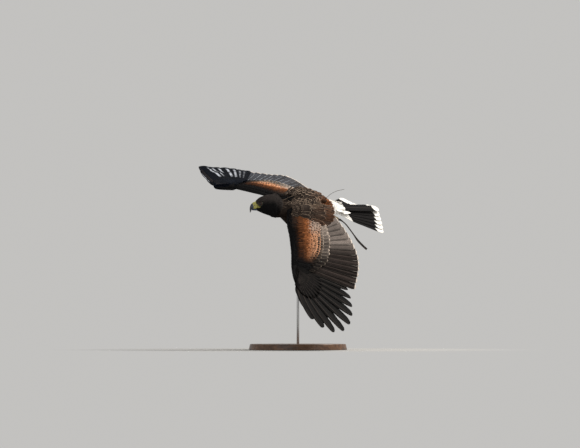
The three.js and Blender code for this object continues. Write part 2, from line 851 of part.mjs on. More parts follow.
function tracker() {
  const floor = backAt(TRACKER.x, 0);
  const rings = [
    [-2, 1],
    [TRACKER.height - 3, 1],
    [TRACKER.height, 0.62],
  ];
  return loft(
    rings.map(([z, size]) =>
      oval(V(TRACKER.x, 0, floor + z), V(1, 0, 0), V(0, 1, 0), (TRACKER.length / 2) * size, (TRACKER.width / 2) * size, 14),
    ),
  ).subtract(bodyGrown);
}

function aerial() {
  const top = backAt(TRACKER.x, 0) + TRACKER.height + GAP - 2;
  const curve = new THREE.CatmullRomCurve3(AERIAL_ROUTE.map(([back, up]) => V(TRACKER.x - back, 0, top + up)));
  const points = curve.getPoints(20);
  return limb(points, points.map(() => AERIAL_RADIUS), 6);
}

// Stand: a flat round base and one rod up into the belly

const birdPlace = new THREE.Matrix4().makeTranslation(0, 0, SHOULDER_HEIGHT).multiply(birdTurn);
const rodPoint = ROD_PLACE.clone().applyMatrix4(birdPlace);
const ROD_TOP = rodPoint.z - 14;
const SOCKET_DEPTH = 10;

function rod(radius, low, high) {
  const shaft = new THREE.CylinderGeometry(radius, radius, high - low, 24);
  shaft.rotateX(Math.PI / 2);
  shaft.translate(rodPoint.x, rodPoint.y, (low + high) / 2);
  return shaft;
}

function standParts() {
  const disc = new THREE.CylinderGeometry(BASE_RADIUS - 4, BASE_RADIUS, BASE_THICK, 56);
  disc.rotateX(Math.PI / 2);
  disc.translate(rodPoint.x, rodPoint.y, BASE_THICK / 2);
  const socketFloor = BASE_THICK - SOCKET_DEPTH;
  return {
    stand_base: solid(disc).subtract(solid(rod(ROD_RADIUS + GAP, socketFloor - GAP, BASE_THICK + 10))),
    stand_rod: solid(rod(ROD_RADIUS, socketFloor, ROD_TOP)),
  };
}

// Assembly

const bird = new THREE.Group();
const stand = new THREE.Group();

function place(parts, material, parent = bird) {
  for (const [name, made] of Object.entries(parts)) {
    const mesh = new THREE.Mesh(geometryOf(largest(made)), materials[material(name)]);
    mesh.name = name;
    parent.add(mesh);
  }
}

// The material of a node by the first part of its name
const MATERIAL_OF = {
  bill: "bill",
  eye: "eye",
  tail: "tail",
  wing: "flight",
  thigh: "rufous",
  foot: "skin",
  claw: "claw",
  cuff: "leather",
  jess: "leather",
  tracker: "plastic",
  aerial: "plastic",
};
const materialOf = (name) => MATERIAL_OF[name.split("_")[0]] ?? "plumage";

const rodHole = solid(rod(ROD_RADIUS + GAP, 0, ROD_TOP + GAP).applyMatrix4(birdPlace.clone().invert()));
const torso = body.intersect(behind(NECK_CUT - GAP)).intersect(ahead(TAIL_CUT)).subtract(rodHole);
place({ ...headParts(), torso, tail: tail() }, materialOf);
for (const side of Object.keys(SIDES)) {
  const { arm, hand } = wing(side, rodHole);
  place({ [`wing_${side}_arm`]: arm, [`wing_${side}_hand`]: hand }, materialOf);
  place(legParts(side, rodHole), materialOf);
  place({ [`cuff_${side}`]: cuff(SIDES[side]), [`jess_${side}`]: jess(side) }, materialOf);
}
place({ tracker: tracker(), aerial: aerial() }, materialOf);
place(standParts(), (name) => (name === "stand_rod" ? "steel" : "wood"), stand);

bird.applyMatrix4(birdPlace);
const hawk = new THREE.Group();
hawk.add(bird, stand);
hawk.position.set(-rodPoint.x, -rodPoint.y, 0);

export default hawk;
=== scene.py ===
# %% [markdown]
# A Harris hawk in a banked glide, life size, as a museum shows it on a plain stand. The bird
# leans with its left wing down, so that its back, both wings and the fan of the tail show at
# once. The solids of the model are the frame of this lesson. Round them come one skin, the
# coat of small feathers, the tiers of the wings, the tail, the bill and eyes, and the leather
# that a trained hawk wears. One generator of random numbers is started here with a fixed
# seed, so that no two feathers are alike and yet every run grows the same bird.

# %% The frame
import itertools
import math

import bmesh
import bpy
import numpy as np
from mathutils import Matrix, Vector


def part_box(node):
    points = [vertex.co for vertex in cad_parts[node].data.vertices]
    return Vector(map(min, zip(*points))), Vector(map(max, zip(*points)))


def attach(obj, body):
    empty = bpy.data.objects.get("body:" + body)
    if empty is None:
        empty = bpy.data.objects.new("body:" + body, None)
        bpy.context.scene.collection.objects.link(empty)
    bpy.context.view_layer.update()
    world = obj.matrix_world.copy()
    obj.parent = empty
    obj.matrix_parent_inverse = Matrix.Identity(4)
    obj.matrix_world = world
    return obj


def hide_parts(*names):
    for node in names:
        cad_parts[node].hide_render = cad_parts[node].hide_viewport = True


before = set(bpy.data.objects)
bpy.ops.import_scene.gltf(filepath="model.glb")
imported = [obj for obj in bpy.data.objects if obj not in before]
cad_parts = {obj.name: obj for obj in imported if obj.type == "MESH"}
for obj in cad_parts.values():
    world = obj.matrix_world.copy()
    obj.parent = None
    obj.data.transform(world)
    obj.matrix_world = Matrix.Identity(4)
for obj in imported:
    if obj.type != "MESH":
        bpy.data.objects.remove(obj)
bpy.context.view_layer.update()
MM = 0.001
RANDOM_SEED = 43
rng = np.random.default_rng(RANDOM_SEED)
print("nodes in the frame:", len(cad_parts))

# %% [markdown]
# The camera comes first, because every later choice is judged through it. A long lens from
# far away flattens the bird as a telephoto lens does. The lens could be tried out by eye, but
# it follows from two sizes: how far away the camera stands and how wide a strip it shows.

# %% The camera
CAMERA_DISTANCE = 40.0
VIEW_WIDTH = 1.7678  # metres across the picture at the bird
VIEW_CENTRE = (-0.0242, 0.3837)  # X and height of the picture's centre
SENSOR = 36.0
CLIP_END = 200

bpy.ops.object.select_all(action="DESELECT")
bpy.ops.object.camera_add(
    location=(VIEW_CENTRE[0], -CAMERA_DISTANCE, VIEW_CENTRE[1]),
    rotation=(math.radians(90), 0, 0),
)
camera = bpy.context.object
camera.name = "camera"
camera.data.sensor_width = SENSOR
camera.data.lens = SENSOR * CAMERA_DISTANCE / VIEW_WIDTH
camera.data.clip_end = CLIP_END
bpy.context.scene.camera = camera
print("lens", round(camera.data.lens), "mm")

# %% [markdown]
# A material here is a short list of nodes. One helper adds a node with its values and its
# links, so that a finish reads as a recipe, from the place on the surface to the shader.


# %% Helpers for finishes
def finish(name, colour=(0.5, 0.5, 0.5), **sockets):
    """A new material with its shader's own sockets set."""
    made = bpy.data.materials.new(name)
    made.use_nodes = True
    shader = made.node_tree.nodes["Principled BSDF"]
    shader.inputs["Base Color"].default_value = (*colour, 1)
    for socket, value in sockets.items():
        shader.inputs[socket.replace("_", " ")].default_value = value
    return made


def add(material, kind, *links, **values):
    """A node of a kind, with its inputs set or linked in order."""
    tree = material.node_tree
    node = tree.nodes.new("ShaderNode" + kind)
    for key, value in values.items():
        if key[0].isupper():
            node.inputs[key.replace("_", " ")].default_value = value
        else:
            setattr(node, key, value)
    for place, source in enumerate(links):
        if isinstance(source, (int, float)):
            node.inputs[place].default_value = source
        else:
            tree.links.new(source, node.inputs[place])
    return node


def maths(material, operation, *terms):
    return add(material, "Math", *terms, operation=operation).outputs[0]


def ramp(material, factor, *stops):
    """A colour ramp through (place, colour) stops, where a colour may be one grey."""
    node = add(material, "ValToRGB", factor)
    while len(node.color_ramp.elements) < len(stops):
        node.color_ramp.elements.new(0.5)
    for element, (place, colour) in zip(node.color_ramp.elements, stops):
        colour = (colour,) * 3 if isinstance(colour, (int, float)) else colour
        element.position = place
        element.color = (*colour, 1)
    return node.outputs[0]


def mixed(material, factor, a, b):
    """Two colours mixed by a factor. Either may be a colour or a socket."""
    node = add(material, "Mix", data_type="RGBA")
    for place, value in ((0, factor), (6, a), (7, b)):
        if isinstance(value, (int, float)):
            node.inputs[place].default_value = value
        elif isinstance(value, tuple):
            node.inputs[place].default_value = (*value, 1)
        else:
            material.node_tree.links.new(value, node.inputs[place])
    return node.outputs[2]


def paint(material, colour, height=None, depth=0.0, strength=1.0, roughness=None):
    """Links a colour, a bump of that depth in metres and a roughness to the shader."""
    tree = material.node_tree
    shader = tree.nodes["Principled BSDF"]
    tree.links.new(colour, shader.inputs["Base Color"])
    if roughness is not None:
        tree.links.new(roughness, shader.inputs["Roughness"])
    if height is not None:
        bump = add(material, "Bump", Strength=strength, Distance=depth)
        tree.links.new(height, bump.inputs["Height"])
        tree.links.new(bump.outputs[0], shader.inputs["Normal"])


# %% [markdown]
# A few steps turn up in nearly every finish: a value that the mesh keeps, noise on the
# surface, a change of range and a product. Each could be written out as nodes, but as a short
# function it reads as what it does.


# %% Short forms for what the finishes share
def place_on(material):
    return add(material, "TexCoord").outputs["Object"]


def kept(material, name, socket="Fac"):
    """What the mesh keeps for its vertices under that name."""
    return add(material, "Attribute", attribute_name=name).outputs[socket]


def noise(material, scale, place=None, **values):
    place = place_on(material) if place is None else place
    return add(material, "TexNoise", place, Scale=scale, **values).outputs[0]


def ranged(material, value, *limits):
    """A value taken from one range to another, to 0 and 1 if only the first is given."""
    return add(material, "MapRange", value, *limits).outputs[0]


def product(material, *terms):
    """All the terms multiplied."""
    found = terms[0]
    for term in terms[1:]:
        found = maths(material, "MULTIPLY", found, term)
    return found


def shaded(material, colour, light):
    """A colour made lighter or darker by a number."""
    grey = add(material, "CombineXYZ", light, light, light).outputs[0]
    return add(material, "VectorMath", colour, grey, operation="MULTIPLY").outputs[0]


# %% [markdown]
# The floor is a pale disc that thins out to nothing towards its rim. A large plane would be
# simpler, but its edge would show behind the bird. Floor and surroundings belong to the
# stage, not to the model.

# %% The studio
FLOOR_RADIUS = 0.8
FLOOR_CLEAR = 0.2  # where the floor starts to thin out
FLOOR_COLOUR = (0.40, 0.395, 0.385)
STUDIO_COLOUR = (0.80, 0.79, 0.77)
STUDIO_LIGHT = 0.68


def floor_finish():
    made = finish("studio_floor", FLOOR_COLOUR, Roughness=0.9, Specular_IOR_Level=0.1)
    tree = made.node_tree
    far = add(made, "VectorMath", place_on(made), operation="LENGTH").outputs["Value"]
    fade = add(made, "MapRange", far, FLOOR_CLEAR, FLOOR_RADIUS, interpolation_type="SMOOTHSTEP")
    blend = add(made, "MixShader", fade.outputs[0])
    tree.links.new(tree.nodes["Principled BSDF"].outputs[0], blend.inputs[1])
    tree.links.new(add(made, "BsdfTransparent").outputs[0], blend.inputs[2])
    tree.links.new(blend.outputs[0], tree.nodes["Material Output"].inputs["Surface"])
    return made


bpy.ops.mesh.primitive_circle_add(vertices=96, radius=FLOOR_RADIUS, fill_type="NGON")
floor = bpy.context.object
floor.name = "floor"
floor.data.materials.append(floor_finish())

world = bpy.data.worlds.new("studio")
world.use_nodes = True
world.node_tree.nodes["Background"].inputs[0].default_value = (*STUDIO_COLOUR, 1)
world.node_tree.nodes["Background"].inputs[1].default_value = STUDIO_LIGHT
bpy.context.scene.world = world
bpy.context.scene.view_settings.view_transform = "Standard"

# %% [markdown]
# Feathers show their layers only when light strikes them from the side. A lamp at the camera
# would be brighter but would hide them. So the key light stands high behind the bird, and two
# weaker ones open the shadows on the camera's side.

# %% The lights
# name: place, target, width, strength in watts, colour
LIGHTS = {
    "key": ((1.5, 0.5, 2.3), (0, 0, 0.4), 0.9, 78, (1.0, 0.96, 0.9)),
    "fill": ((-1.6, -2.6, 1.0), (0, 0, 0.3), 1.8, 9, (0.95, 0.97, 1.0)),
    "front": ((1.5, -2.2, 1.5), (0, 0, 0.3), 1.4, 16, (1.0, 0.98, 0.95)),
}
for name, (place, target, width, power, colour) in LIGHTS.items():
    bpy.ops.object.light_add(type="AREA", location=place)
    lamp = bpy.context.object
    lamp.name = "light_" + name
    lamp.data.size = width
    lamp.data.energy = power
    lamp.data.color = colour
    aim = np.subtract(target, place)
    lamp.rotation_euler = (
        math.acos(-aim[2] / np.linalg.norm(aim)),
        0,
        math.atan2(-aim[0], aim[1]),
    )
print("lights:", ", ".join(LIGHTS))

# %% [markdown]
# Everything on the bird is measured in its own frame, in millimetres: x towards the bill, y
# to its left, z up out of its back. It could be measured over the floor, but a banked bird is
# even on both sides only in its own frame. One turn and one lift take that to the floor's.

# %% The bird's own frame
HEADING, BANK, CLIMB = 43, 52, -1.4
SHOULDER_HEIGHT = 420
ROD_PLACE = np.array([-26.0, 0.0, -4.0])


def unit(v):
    v = np.asarray(v, float)
    return v / np.linalg.norm(v, axis=-1, keepdims=True)


def facing(heading, climb, roll):
    """Forward, left and up as the columns of a turn."""
    heading, climb, roll = np.radians([heading, climb, roll])
    forward = unit([-math.cos(heading), -math.sin(heading), math.tan(climb)])
    level = unit(np.cross([0, 0, 1], forward))
    left = level * math.cos(roll) - np.cross(forward, level) * math.sin(roll)
    return np.column_stack([forward, left, np.cross(forward, left)])


BIRD = facing(HEADING, CLIMB, BANK)
LIFT = np.array([0, 0, SHOULDER_HEIGHT]) - (BIRD @ ROD_PLACE) * [1, 1, 0]


def on_floor(points):
    """Places in the bird's frame, in millimetres, as places over the floor, in metres."""
    return (np.asarray(points, float) @ BIRD.T + LIFT) * MM


def in_bird(points):
    return (np.asarray(points, float) / MM - LIFT) @ BIRD


print("the bird's origin over the floor:", on_floor([0, 0, 0]).round(3))

# %% [markdown]
# A bird has no straight lines. Sizes are given at a few places and read between them, by a
# plain mix, by a step with soft ends, or by a curve that runs smoothly through all of them.


# %% Blending and smooth curves
def rows_of(*columns):
    """Columns side by side, where a single number is repeated down the rows."""
    return np.stack(np.broadcast_arrays(*columns), -1).astype(float)


def mix(a, b, t):
    return a + (b - a) * t


def smooth(low, high, x):
    t = np.clip((np.asarray(x, float) - low) / (high - low), 0, 1)
    return t * t * (3 - 2 * t)


def spline(knots, values, x):
    """A smooth curve through values at knots, read at x."""
    knots = np.asarray(knots, float)
    values = np.asarray(values, float).reshape(len(knots), -1)
    slopes = np.gradient(values, knots, axis=0)
    x = np.clip(np.asarray(x, float), knots[0], knots[-1])
    i = np.clip(np.searchsorted(knots, x, side="right") - 1, 0, len(knots) - 2)
    width = (knots[i + 1] - knots[i])[..., None]
    t = (x[..., None] - knots[i][..., None]) / width
    a, b, c, d = values[i], values[i + 1], slopes[i] * width, slopes[i + 1] * width
    return a + c * t + (3 * (b - a) - 2 * c - d) * t**2 + (2 * (a - b) + c + d) * t**3

# %% [markdown]
# Head, neck and trunk are one row of oval rings, from the base of the bill to the root of
# the tail. They could be sculpted, but a row of sizes can be checked against the solids, and
# the feathers find their places on it later. The head's rings stand in a frame of their own,
# because a hawk holds its head level while its body leans.

# %% The body's form
SKULL = np.array([115.0, -21.0, 14.0])
HEAD_TURN = BIRD.T @ facing(12, -10, 6)
# x, height, half width and half height of the head's rings, in the head's frame
SKULL_RINGS = [
    (28, -1, 8.5, 10.5),
    (24, 0, 12.5, 14.5),
    (16, 1.5, 17.5, 19.5),
    (6, 3, 21.5, 22.5),
    (-8, 2.5, 25, 25.5),
    (-24, 0, 27, 28),
]
NAPE = 4  # how far the neck's coat is puffed up
THROAT = (0, 0, 2, 7, 11.5, 15.3, 11.5, 11, 12.5, 0.5, -6)  # and the throat's, ring by ring
NECK_STEPS = (0.34, 0.67)  # where the neck's two rings stand between head and trunk
# centre, half width and half height of the trunk's rings
TRUNK = [
    (64, -16, 10, 25, 26),
    (42, -13, 7, 32, 34),
    (14, -5, 2, 47, 46),
    (-20, 0, -1, 56, 52),
    (-58, 0, 2, 54, 50),
    (-96, 0, 6, 46, 41),
    (-130, 0, 12, 35, 28),
    (-158, 0, 16, 25, 16),
    (-182, 0, 17, 18, 8),
]


def in_head(points):
    return np.asarray(points, float) @ HEAD_TURN.T + SKULL


def body_rings():
    """Centre, unit across, unit up, half width and half height of each ring, in a row."""
    rows = []
    for x, z, w, h in SKULL_RINGS:
        rows.append([*in_head([x, 0, z]), *HEAD_TURN[:, 1], *HEAD_TURN[:, 2], w, h])
    _, _, back_w, back_h = SKULL_RINGS[-1]
    first = TRUNK[0]
    for t in NECK_STEPS:
        centre = mix(np.array(rows[len(SKULL_RINGS) - 1][:3]), np.array(first[:3]), t)
        across = unit(mix(HEAD_TURN[:, 1], np.array([0, 1, 0]), t))
        up = mix(HEAD_TURN[:, 2], np.array([0, 0, 1]), t)
        up = unit(up - across * (up @ across))
        centre = centre + up * NAPE / 2
        half_width, half_height = mix(back_w, first[3], t), mix(back_h, first[4], t) + NAPE
        rows.append([*centre, *across, *up, half_width, half_height])
    for x, y, z, w, h in TRUNK:
        rows.append([x, y, z, 0, 1, 0, 0, 0, 1, w, h])
    for row, drop in zip(rows, THROAT):
        row[0:3] = np.array(row[0:3]) - np.array(row[6:9]) * drop / 2
        row[10] += drop / 2
    return np.array(rows)


RINGS = body_rings()
RING_AT = np.arange(len(RINGS))
NECK_RING = len(SKULL_RINGS)
TRUNK_RING = NECK_RING + len(NECK_STEPS)


def body_at(s, angle, grow=0.0):
    """Places on the body: s counts the rings, angle goes from its left over its back."""
    s, angle = np.broadcast_arrays(np.asarray(s, float), np.asarray(angle, float))
    row = spline(RING_AT, RINGS, s)
    grow = np.asarray(grow, float)[..., None]
    w, h = row[..., 9:10] + grow, row[..., 10:11] + grow
    angle = angle[..., None]
    return row[..., :3] + row[..., 3:6] * w * np.cos(angle) + row[..., 6:9] * h * np.sin(angle)


# %% [markdown]
# A wing is an arm out to the wrist and a hand beyond it. Each has a turn of its own, so the
# near wing can sweep down while the far one reaches up and forward. A rig of bones could bend
# it, but the pose is fixed, and two turns are all it needs. The lines of the flight feathers
# come from the same few sizes as the solids.

# %% The wings' form
SHOULDER = np.array([8.0, 42.0, 20.0])
SIDES = {"left": 1, "right": -1}
# wrist: how far out and ahead it is. arm, hand: depression, sweep and twist in degrees.
# last_angle, fan, fan_curve: how the primaries spread. cup: the heights of the first and last
# tip. arch, tip_drop, tip_lift: how a primary bends. bow: how far the arm rises, in mm.
POSES = {
    "left": {
        "wrist": (157, 42),
        "arm": (17.7, 7.3, -15.9),
        "hand": (-32.2, 13.3, 9.6),
        "last_angle": 0.2,
        "fan": 83.3,
        "fan_curve": 1.52,
        "cup": (-8, 10),
        "arch": 0.052,
        "tip_drop": 0.02,
        "tip_lift": 0.0,
        "bow": 0,
    },
    "right": {
        "wrist": (161, 53),
        "arm": (37.1, 16, -5),
        "hand": (14.7, -22.9, -21.8),
        "last_angle": -14.3,
        "fan": 29.2,
        "fan_curve": 1.77,
        "cup": (-25, -3),
        "arch": 0.02,
        "tip_drop": 0.0,
        "tip_lift": 0.058,
        "bow": 7,
    },
}
HAND_LENGTH = 78
PRIMARY_LENGTHS = (180, 193, 212, 238, 269, 298, 311, 304, 273, 223)
# share of the way to the wrist, leading edge ahead of that line, chord and thickness
ARM_SECTIONS = [
    (-0.2, 48, 150, 27),
    (0.05, 47, 145, 26),
    (0.4, 31, 116, 19),
    (0.75, 20, 98, 15),
    (1.02, 14, 70, 12),
    (1.09, 10, 56, 10),
]
# distance out along the hand, leading edge, chord and thickness
HAND_SECTIONS = [
    (-14, 13, 60, 12),
    (4, 16, 60, 11.5),
    (28, 17, 51, 9),
    (54, 17, 39, 7),
    (78, 15, 27, 5),
    (96, 9, 12, 3),
]
# share of the chord back from the leading edge, and heights as shares of the thickness
UPPER_SIDE = [(0, 0.2), (0.02, 0.4), (0.07, 0.6), (0.26, 0.88), (0.62, 0.62), (1, 0.05)]
UNDER_SIDE = [(0, 0.2), (0.02, 0.02), (0.07, -0.2), (0.25, -0.38), (0.6, -0.2), (1, 0.05)]
print("primaries to a wing:", len(PRIMARY_LENGTHS))

# %% [markdown]
# A wing answers two questions for all that follows: where a place on its skin is, and where a
# flight feather starts and ends. Both sides could be worked out apart, but a wing is the
# mirror of the other one except for its pose, so one class serves both.


# %% The two wings
def turn_about(axis, degrees):
    c, s = math.cos(math.radians(degrees)), math.sin(math.radians(degrees))
    rows = {"x": [[1, 0, 0], [0, c, -s], [0, s, c]], "y": [[c, 0, s], [0, 1, 0], [-s, 0, c]]}
    return np.array(rows.get(axis, [[c, -s, 0], [s, c, 0], [0, 0, 1]]))


def wing_turn(depress, sweep, twist):
    return turn_about("y", depress) @ turn_about("z", sweep) @ turn_about("x", twist)


def section_at(sections, at, back, under, grow):
    """Leading edge, chord and height of a wing's skin, grown outwards."""
    rows = spline([row[0] for row in sections], [row[1:] for row in sections], at)
    lead, chord, thick = np.moveaxis(rows, -1, 0)
    up = np.interp(back, *zip(*(UNDER_SIDE if under else UPPER_SIDE))) * thick
    return lead, chord, up + (-grow if under else grow)


class Wing:
    """One wing's arm and hand, which take (out, forward, up) to the bird's frame."""

    def __init__(self, side):
        self.side, self.sign, self.pose = side, SIDES[side], POSES[side]
        self.arm_turn = wing_turn(*self.pose["arm"])
        self.hand_turn = self.arm_turn @ wing_turn(*self.pose["hand"])
        self.shoulder = SHOULDER * [1, self.sign, 1]
        self.wrist = self.arm(*self.pose["wrist"], 0)

    def _bird(self, v):
        return np.stack([v[..., 1], self.sign * v[..., 0], v[..., 2]], -1)

    def arm_dir(self, out, forward, up=0.0):
        return self._bird(rows_of(out, forward, up) @ self.arm_turn.T)

    def hand_dir(self, out, forward, up=0.0):
        return self._bird(rows_of(out, forward, up) @ self.hand_turn.T)

    def arm(self, out, forward, up=0.0):
        share = np.clip(np.asarray(out, float) / self.pose["wrist"][0], 0, 1)
        bow = self.pose["bow"] * np.sin(np.pi * share**1.8)
        return self.shoulder + self.arm_dir(out, forward, up + bow)

    def hand(self, out, forward, up=0.0):
        return self.wrist + self.hand_dir(out, forward, up)

    def arm_skin(self, t, back, under, grow):
        """A place on the arm: t to the wrist, back from the leading edge."""
        reach, wrist_lead = self.pose["wrist"]
        lead, chord, up = section_at(ARM_SECTIONS, t, back, under, grow)
        return self.arm(t * reach, lead + t * wrist_lead - back * chord, up)

    def hand_skin(self, out, back, under, grow):
        lead, chord, up = section_at(HAND_SECTIONS, out, back, under, grow)
        return self.hand(out, lead - back * chord, up)

    def secondary(self, t):
        """Root and tip of a secondary, from the wrist (0) to the inmost tertial (1)."""
        t = np.asarray(t, float)
        reach, wrist_lead = self.pose["wrist"]
        root = self.arm(mix(reach - 8, 40, t), mix(wrist_lead - 14, -30, t))
        span = mix(reach + 67, 6, t**0.95)
        bulge = 32 * np.sin(np.pi * t)
        near_wrist = 5 * np.sin(np.pi * np.clip(t / 0.6, 0, 1))
        tip = self.arm(span, mix(-150, -126, t) - bulge - near_wrist, mix(-3, 4, t))
        return root, tip

    def primary(self, i):
        """Root, tip and leading direction of a primary, from the inmost (0) to the last (9)."""
        t = np.asarray(i, float) / (len(PRIMARY_LENGTHS) - 1)
        spread = self.pose["fan"] * (1 - t) ** self.pose["fan_curve"]
        angle = np.radians(self.pose["last_angle"] - spread)
        reach = np.interp(i, range(len(PRIMARY_LENGTHS)), PRIMARY_LENGTHS)
        root = self.hand(mix(2, HAND_LENGTH - 4, t), mix(-6, 6, t))
        height = mix(*self.pose["cup"], t)
        tip = self.hand(reach * np.cos(angle), reach * np.sin(angle) + 6 * t, height)
        return root, tip, self.hand_dir(-np.sin(angle), np.cos(angle))


WINGS = {side: Wing(side) for side in SIDES}
for side, wing in WINGS.items():
    print(side, "wrist at", on_floor(wing.wrist).round(3))

# %% [markdown]
# The tail is a fan of twelve feathers on a short root. Its root has a turn of its own too,
# because a hawk steers by twisting its tail against the lean of its body.

# %% The tail's form
RECTRICES = 12
TAIL_LENGTH = 224
TAIL_FAN = 15.6  # degrees from its middle to its edge
TAIL_DOME = 9  # degrees that its edge slopes down
TAIL_ROOT = np.array([-156.0, 0.0, 16.0])
TAIL_TURN = turn_about("z", -6.5) @ turn_about("y", 9) @ turn_about("x", 11)


def tail_dir(back, left, up):
    return rows_of(back, left, up) @ TAIL_TURN.T * [-1, 1, 1]


def tail_at(back, left, up):
    return TAIL_ROOT + tail_dir(back, left, up)


print("the tail's root is at", on_floor(TAIL_ROOT).round(3))

# %% [markdown]
# The skin under the coat is one piece, so that no seam can show between the solids of head,
# trunk, wings and thighs. Booleans could join them, but would leave creases. Here each form is
# a grid that is rolled round its rings, all lie a little inside the solids, and a voxel remesh
# melts them into one smooth shape.


# %% Rolling a grid into a form
def deselect():
    if bpy.context.mode != "OBJECT":
        bpy.ops.object.mode_set(mode="OBJECT")
    bpy.ops.object.select_all(action="DESELECT")


def choose(*objects):
    deselect()
    for obj in objects:
        obj.select_set(True)
    bpy.context.view_layer.objects.active = objects[0]


def vertices_of(obj):
    places = np.empty(len(obj.data.vertices) * 3)
    obj.data.vertices.foreach_get("co", places)
    return places.reshape(-1, 3)


def move_vertices(obj, places):
    obj.data.vertices.foreach_set("co", np.ascontiguousarray(places, float).ravel())
    obj.data.update()


def rolled(name, columns, rows, place):
    """A closed form: a grid whose corner (u, v), from 0 to 1, goes to place(u, v)."""
    deselect()
    bpy.ops.mesh.primitive_grid_add(x_subdivisions=columns, y_subdivisions=rows, size=2)
    obj = bpy.context.object
    obj.name = obj.data.name = name
    flat = (vertices_of(obj) + 1) / 2
    move_vertices(obj, on_floor(place(flat[:, 0], flat[:, 1])))
    bpy.ops.object.mode_set(mode="EDIT")
    bpy.ops.mesh.select_all(action="SELECT")
    bpy.ops.mesh.remove_doubles(threshold=1e-5)
    bpy.ops.mesh.fill_holes(sides=0)
    bpy.ops.mesh.select_all(action="SELECT")
    bpy.ops.mesh.normals_make_consistent(inside=False)
    bpy.ops.object.mode_set(mode="OBJECT")
    return obj


# %% [markdown]
# A form becomes a piece in a few steps that are always the same: modifiers are applied, forms
# are joined or melted, values are kept in the mesh for the finish, and the piece is hung on
# the model's one body, with the solids that it stands for hidden.


# %% From a form to a piece
def modify(obj, kind, **settings):
    """A modifier, added and applied."""
    choose(obj)
    modifier = obj.modifiers.new(kind.lower(), kind)
    for key, value in settings.items():
        setattr(modifier, key, value)
    bpy.ops.object.modifier_apply(modifier=modifier.name)
    return obj


def joined(name, *objects):
    choose(*objects)
    if len(objects) > 1:
        bpy.ops.object.join()
    obj = bpy.context.object
    obj.name = obj.data.name = name
    return obj


def melted(obj, voxel, rounds):
    """Voxel remeshed at that size in millimetres, then smoothed."""
    modify(obj, "REMESH", mode="VOXEL", voxel_size=voxel * MM, use_smooth_shade=True)
    return modify(obj, "SMOOTH", factor=0.5, iterations=rounds)


def keep(obj, slot, *nodes):
    """The piece rides on the model's one body and stands for nodes, whose solids it hides.

    slot is not used.
    """
    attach(obj, "root")
    if nodes:
        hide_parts(*nodes)
    return obj


def remember(obj, name, values):
    """Keeps one number or one colour for each vertex, for the finishes to read."""
    values = np.asarray(values, float)
    if values.ndim == 1:
        values = np.column_stack([values] * 3)
    values = np.column_stack([values, np.ones(len(values))]).astype(np.float32)
    made = obj.data.color_attributes.new(name, "FLOAT_COLOR", "POINT")
    made.data.foreach_set("color", values.ravel())


def dress(obj, material, smooth_shade=True):
    obj.data.materials.clear()
    obj.data.materials.append(material)
    obj.data.polygons.foreach_set("use_smooth", np.full(len(obj.data.polygons), smooth_shade))
    obj.data.update()
    return obj


# %% [markdown]
# Now the forms themselves: the body, both arms and hands, the thighs and the ridges over the
# eyes. Each is drawn in by the depth of the coat that will lie on it.

# %% The skin
SKIN_CHORD = 0.8  # the skin of a wing ends before the thin rear edge of its coat
WING_DEPTH = 1.5  # how far a wing's skin lies inside its coat
SKIN_VOXEL = 1.8
THIGH = [(-52, 28, -34), (-68, 29, -40), (-88, 28, -42), (-106, 26, -40), (-124, 23.5, -34)]
THIGH_RADII = (22, 21, 17, 12, 7)


def coat_depth(s):
    """How deep the coat is at a ring: thin on the face, thick on neck and trunk."""
    return np.interp(s, [0, 3, NECK_RING, TRUNK_RING + 2, TRUNK_RING + 6], [1.2, 2, 4, 6, 5])


def body_skin(u, v):
    s = v * (len(RINGS) - 1)
    return body_at(s, u * 2 * np.pi, -coat_depth(s))


def wing_section(skin_at, first, last):
    """Round a wing's section from its leading edge, over its upper side and back under it."""

    def place(u, v):
        back = np.where(u < 0.5, u * 2, 2 - u * 2) ** 1.4 * SKIN_CHORD
        along = mix(first, last, v)
        upper, under = (skin_at(along, back, side, -WING_DEPTH) for side in (False, True))
        return np.where((u < 0.5)[:, None], upper, under)

    return place


def limb_at(spine, radii, grow=0.0):
    """Round a limb whose radius changes along its spine."""
    knots = np.arange(len(spine))

    def place(u, v):
        at = v * (len(spine) - 1)
        centre = spline(knots, spine, at)
        along = unit(spline(knots, spine, at + 0.01) - spline(knots, spine, at - 0.01))
        across = unit(np.cross(along, [0.0, 0.0, 1.0]))
        up = np.cross(across, along)
        radius = spline(knots, radii, at) + grow
        angle = (u * 2 * np.pi)[:, None]
        return centre + radius * (across * np.cos(angle) + up * np.sin(angle))

    return place


BROW = [(24, 8.4, 9), (18, 13.2, 13), (10, 16.4, 15), (2, 17.6, 14.6)]
BROW_RADII = (1.6, 3, 3.2, 1.4)


def brow_at(sign, grow):
    """The bony ridge that shades a hawk's eye, from the lores back over it."""
    return limb_at(in_head(np.array(BROW) * [1, sign, 1]), BROW_RADII, grow)


def make_skin():
    forms = [rolled("body_form", 40, 80, body_skin)]
    for side, wing in WINGS.items():
        forms.append(rolled("arm_form", 32, 30, wing_section(wing.arm_skin, -0.2, 1.05)))
        forms.append(rolled("hand_form", 32, 20, wing_section(wing.hand_skin, -12, 92)))
        spine = np.array(THIGH) * [1, wing.sign, 1]
        forms.append(rolled("thigh_form", 20, 20, limb_at(spine, THIGH_RADII, -4)))
        forms.append(rolled("brow_form", 12, 24, brow_at(wing.sign, -0.4)))
    return melted(joined("skin", *forms), SKIN_VOXEL, 5)


skin = make_skin()
print("skin:", len(skin.data.polygons), "faces")

# %% [markdown]
# A feather is a thin vane with a shaft down its middle. Hair particles could stand in for
# plumage, but they leave no mesh behind when a model is handed on. So one vane is modelled for
# each size of feather, as a grid that is given its outline and a thickness. Every feather on
# the bird is a copy of it, bent and turned to its own line, and thousands share one mesh.


# %% One vane for many feathers
ROWS_TO_TIP = 1.6  # above 1, the rows of faces stand closer towards a feather's tip
SHAFT_SHARE = 0.12  # how much of a half width the raised shaft takes


